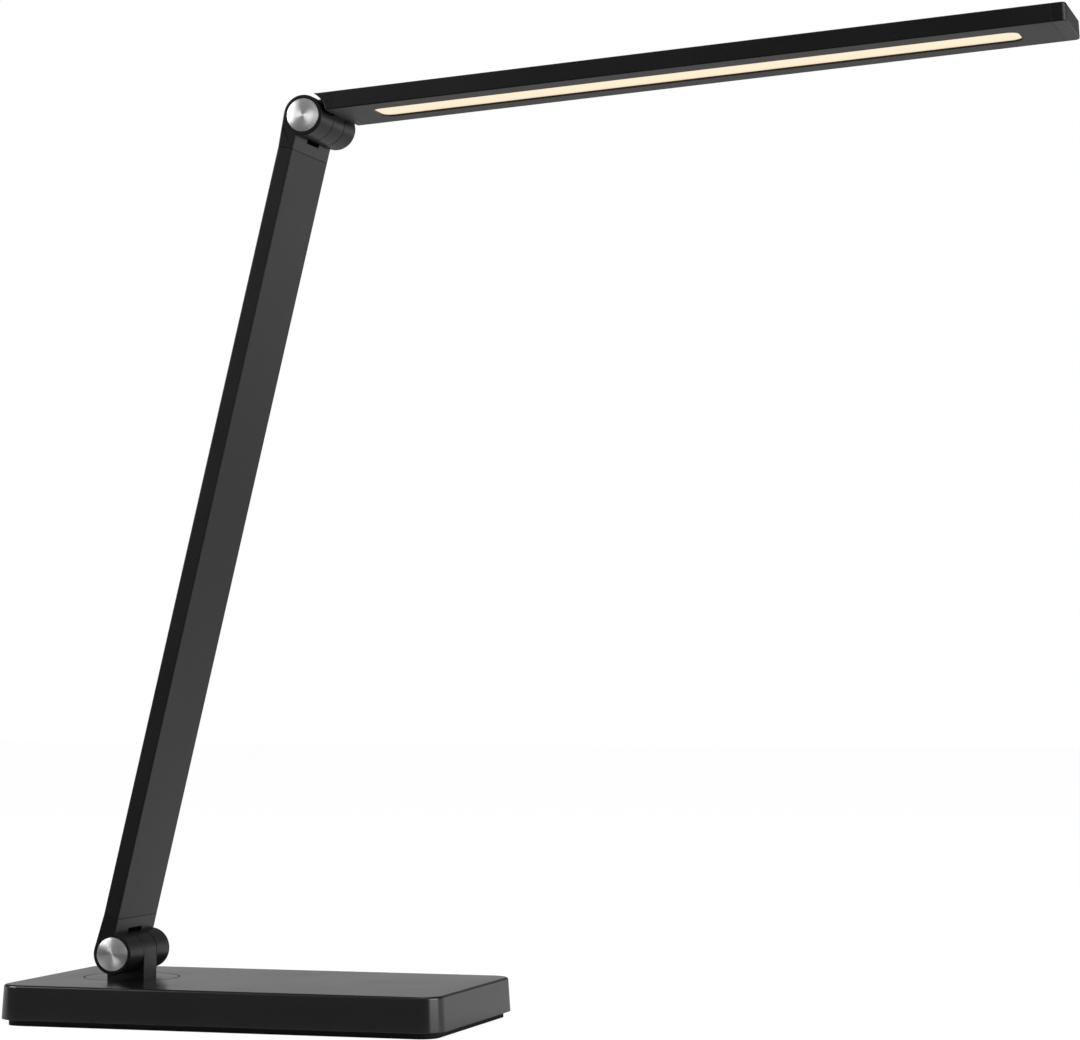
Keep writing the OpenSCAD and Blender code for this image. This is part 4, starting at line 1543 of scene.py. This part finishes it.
    def build(self, finishes: Finishes) -> None:
        """Builds the head's pieces and dresses its bush, board and lead.

        Args:
            finishes: The lamp's finishes.
        """
        Piece("head_barrel", Body.HEAD, "cast_charcoal", finishes.cast_coat, ("head_end_piece",)).make(
            self.end_piece(), IN_HEAD
        )
        Piece("head_blade", Body.HEAD, "coated_aluminium", finishes.powder_coat, ("head_housing",)).make(
            self.housing(), IN_HEAD
        )
        Piece("light_strip", Body.HEAD, "opal_diffuser", finishes.opal, ("diffuser",)).make(
            self.strip(), IN_HEAD
        )
        Piece("head_tip", Body.HEAD, "end_cap_plastic", finishes.cast_coat, ("head_end_cap",)).make(
            self.end_cap(), IN_HEAD
        )
        dress(finishes.nylon, "upper_bush")
        dress(finishes.board_white, "led_board")
        dress(finishes.lead_sleeve, "head_lead")


# Studio


@dataclass(frozen=True)
class Softbox:
    """A square of soft light."""

    name: str
    place: tuple[float, float, float]
    aim: tuple[float, float, float]
    size: tuple[float, float]
    radiance: float

    def build(self) -> None:
        """Adds the light, with its power worked out from its radiance."""
        data = bpy.data.lights.new(self.name, "AREA")
        data.shape = "RECTANGLE"
        data.size, data.size_y = self.size
        data.energy = self.radiance * math.pi * self.size[0] * self.size[1]
        obj = bpy.data.objects.new(self.name, data)
        obj.location = self.place
        obj.rotation_euler = (Vector(self.aim) - Vector(self.place)).to_track_quat("-Z", "Y").to_euler()
        bpy.context.scene.collection.objects.link(obj)


@dataclass
class Studio:
    """The camera, the pale floor, the white surround and the softboxes."""

    camera_place: tuple[float, float, float] = (0.54157, -1.34821, 0.14916)
    camera_pitch_deg: float = 2.8386
    camera_yaw_deg: float = 16.992
    lens_px: float = 3263.0
    frame_px: float = 1080.0
    sensor_mm: float = 36.0
    view_depth: float = 50.0
    floor_size: float = 12.0
    paper: float = 0.72
    # Painted shade: the dark colour the paper takes in front of the lamp for glossy rays only, and where
    # along Y it starts and ends
    painted_shade: float = 0.07
    painted_shade_edge: tuple[float, float] = (-0.14, -0.06)
    floor_glow: float = 1.15
    glow_share: float = 0.82
    turn_over: tuple[float, float] = (-0.3, 0.1)
    ambient: tuple[float, float] = (0.12, 0.5)
    front_gloss: float = 0.24
    horizon_gloss: float = 0.78
    upper_gloss: float = 0.13
    horizon_fall: float = 10.0
    lights: tuple[Softbox, ...] = field(default_factory=lambda: (
        Softbox("right_box", (1.3, -0.22, 0.42), (0.0, 0.0, 0.25), (1.1, 0.76), 3.6),
        Softbox("left_box", (-1.02, -0.62, 0.74), (0.0, 0.0, 0.25), (0.95, 0.85), 4.0),
        Softbox("top_box", (0.1, 0.2, 2.0), (0.05, 0.0, 0.2), (1.2, 1.2), 1.6),
    ))

    def _camera(self) -> None:
        """Adds the camera at the photograph's place."""
        data = bpy.data.cameras.new("camera")
        data.sensor_fit = "HORIZONTAL"
        data.sensor_width = self.sensor_mm
        data.lens = self.lens_px / self.frame_px * self.sensor_mm
        data.clip_end = self.view_depth
        obj = bpy.data.objects.new("camera", data)
        obj.location = self.camera_place
        obj.rotation_euler = (
            math.radians(90 + self.camera_pitch_deg), 0.0, math.radians(self.camera_yaw_deg)
        )
        bpy.context.scene.collection.objects.link(obj)
        bpy.context.scene.camera = obj

    def _floor(self) -> None:
        """Adds the pale floor, white to the camera apart from the lamp's shadow.

        The lamp's gloss sees the paper painted dark in front of it, a painted shade that only glossy rays
        see.
        """
        bm = bmesh.new()
        bmesh.ops.create_grid(bm, x_segments=1, y_segments=1, size=self.floor_size / 2)
        mesh = bpy.data.meshes.new("floor")
        bm.to_mesh(mesh)
        bm.free()
        obj = bpy.data.objects.new("floor", mesh)
        bpy.context.scene.collection.objects.link(obj)
        material = bpy.data.materials.new("floor")
        material.use_nodes = True
        nodes = Nodes(material.node_tree)
        material.node_tree.nodes.clear()
        path = nodes.add("LightPath")
        ahead = nodes.add("SeparateXYZ", {"Vector": nodes.add("TexCoord").outputs["Object"]}).outputs["Y"]
        # Painted shade: glossy rays see the paper dark in front of the lamp, which darkens the lamp's
        # reflections
        on_painted_shade = nodes.span(ahead, *self.painted_shade_edge, 1.0, 0.0)
        painted_shade = nodes.math("MULTIPLY", path.outputs["Is Glossy Ray"], on_painted_shade)
        paper = nodes.add("BsdfDiffuse", {"Color": nodes.mix(painted_shade, colour(self.paper), colour(self.painted_shade))})
        glow = nodes.add("Emission", {"Color": colour(1.0), "Strength": self.floor_glow})
        share = nodes.math("MULTIPLY", path.outputs["Is Camera Ray"], self.glow_share)
        both = nodes.add("MixShader", {0: share, 1: paper.outputs[0], 2: glow.outputs[0]})
        nodes.add("OutputMaterial", {"Surface": both.outputs[0]})
        mesh.materials.append(material)

    def _world(self) -> None:
        """Sets a surround that is white to the camera, pale behind the lamp and dim in front of it."""
        world = bpy.data.worlds.new("surround")
        bpy.context.scene.world = world
        world.use_nodes = True
        nodes = Nodes(world.node_tree)
        world.node_tree.nodes.clear()
        path = nodes.add("LightPath")
        aim = nodes.add("SeparateXYZ", {"Vector": nodes.add("TexCoord").outputs["Generated"]})
        rear = nodes.span(aim.outputs["Y"], *self.turn_over, 0.0, 1.0)
        rise = nodes.math("MAXIMUM", aim.outputs["Z"], 0.0)
        fall = nodes.math("POWER", nodes.math("SUBTRACT", 1.0, rise), self.horizon_fall)
        behind = nodes.math("ADD", nodes.math("MULTIPLY", fall, self.horizon_gloss), self.upper_gloss)
        gloss = nodes.mix(rear, colour(self.front_gloss), behind)
        seen = nodes.math("MAXIMUM", path.outputs["Is Camera Ray"], path.outputs["Is Transmission Ray"])
        plain = nodes.math("MULTIPLY", path.outputs["Is Glossy Ray"], gloss)
        not_gloss = nodes.math("SUBTRACT", 1.0, path.outputs["Is Glossy Ray"])
        ambient = nodes.span(aim.outputs["Y"], *self.turn_over, *self.ambient)
        filled = nodes.math("MULTIPLY", not_gloss, ambient)
        strength = nodes.math("MAXIMUM", seen, nodes.math("ADD", plain, filled))
        sky = nodes.add("Background", {"Color": colour(1.0), "Strength": strength})
        nodes.add("OutputWorld", {"Surface": sky.outputs[0]})

    def build(self) -> None:
        """Builds the studio."""
        self._camera()
        self._floor()
        self._world()
        for box in self.lights:
            box.build()
        bpy.context.scene.view_settings.view_transform = "Standard"
        log.info("studio: %d lights", len(self.lights))


def main() -> None:
    """Builds the lamp and its studio in order."""
    logging.basicConfig(level=logging.INFO, format="%(message)s")
    finishes = Finishes()
    hinge = HingeSizes()
    Studio().build()
    inlet = Inlet()
    BaseHousing(inlet).build(finishes)
    inlet.build(finishes)
    Turntable(hinge).build(finishes)
    Arm(hinge).build(finishes)
    Head(hinge).build(finishes)


if __name__ == "__main__":
    main()
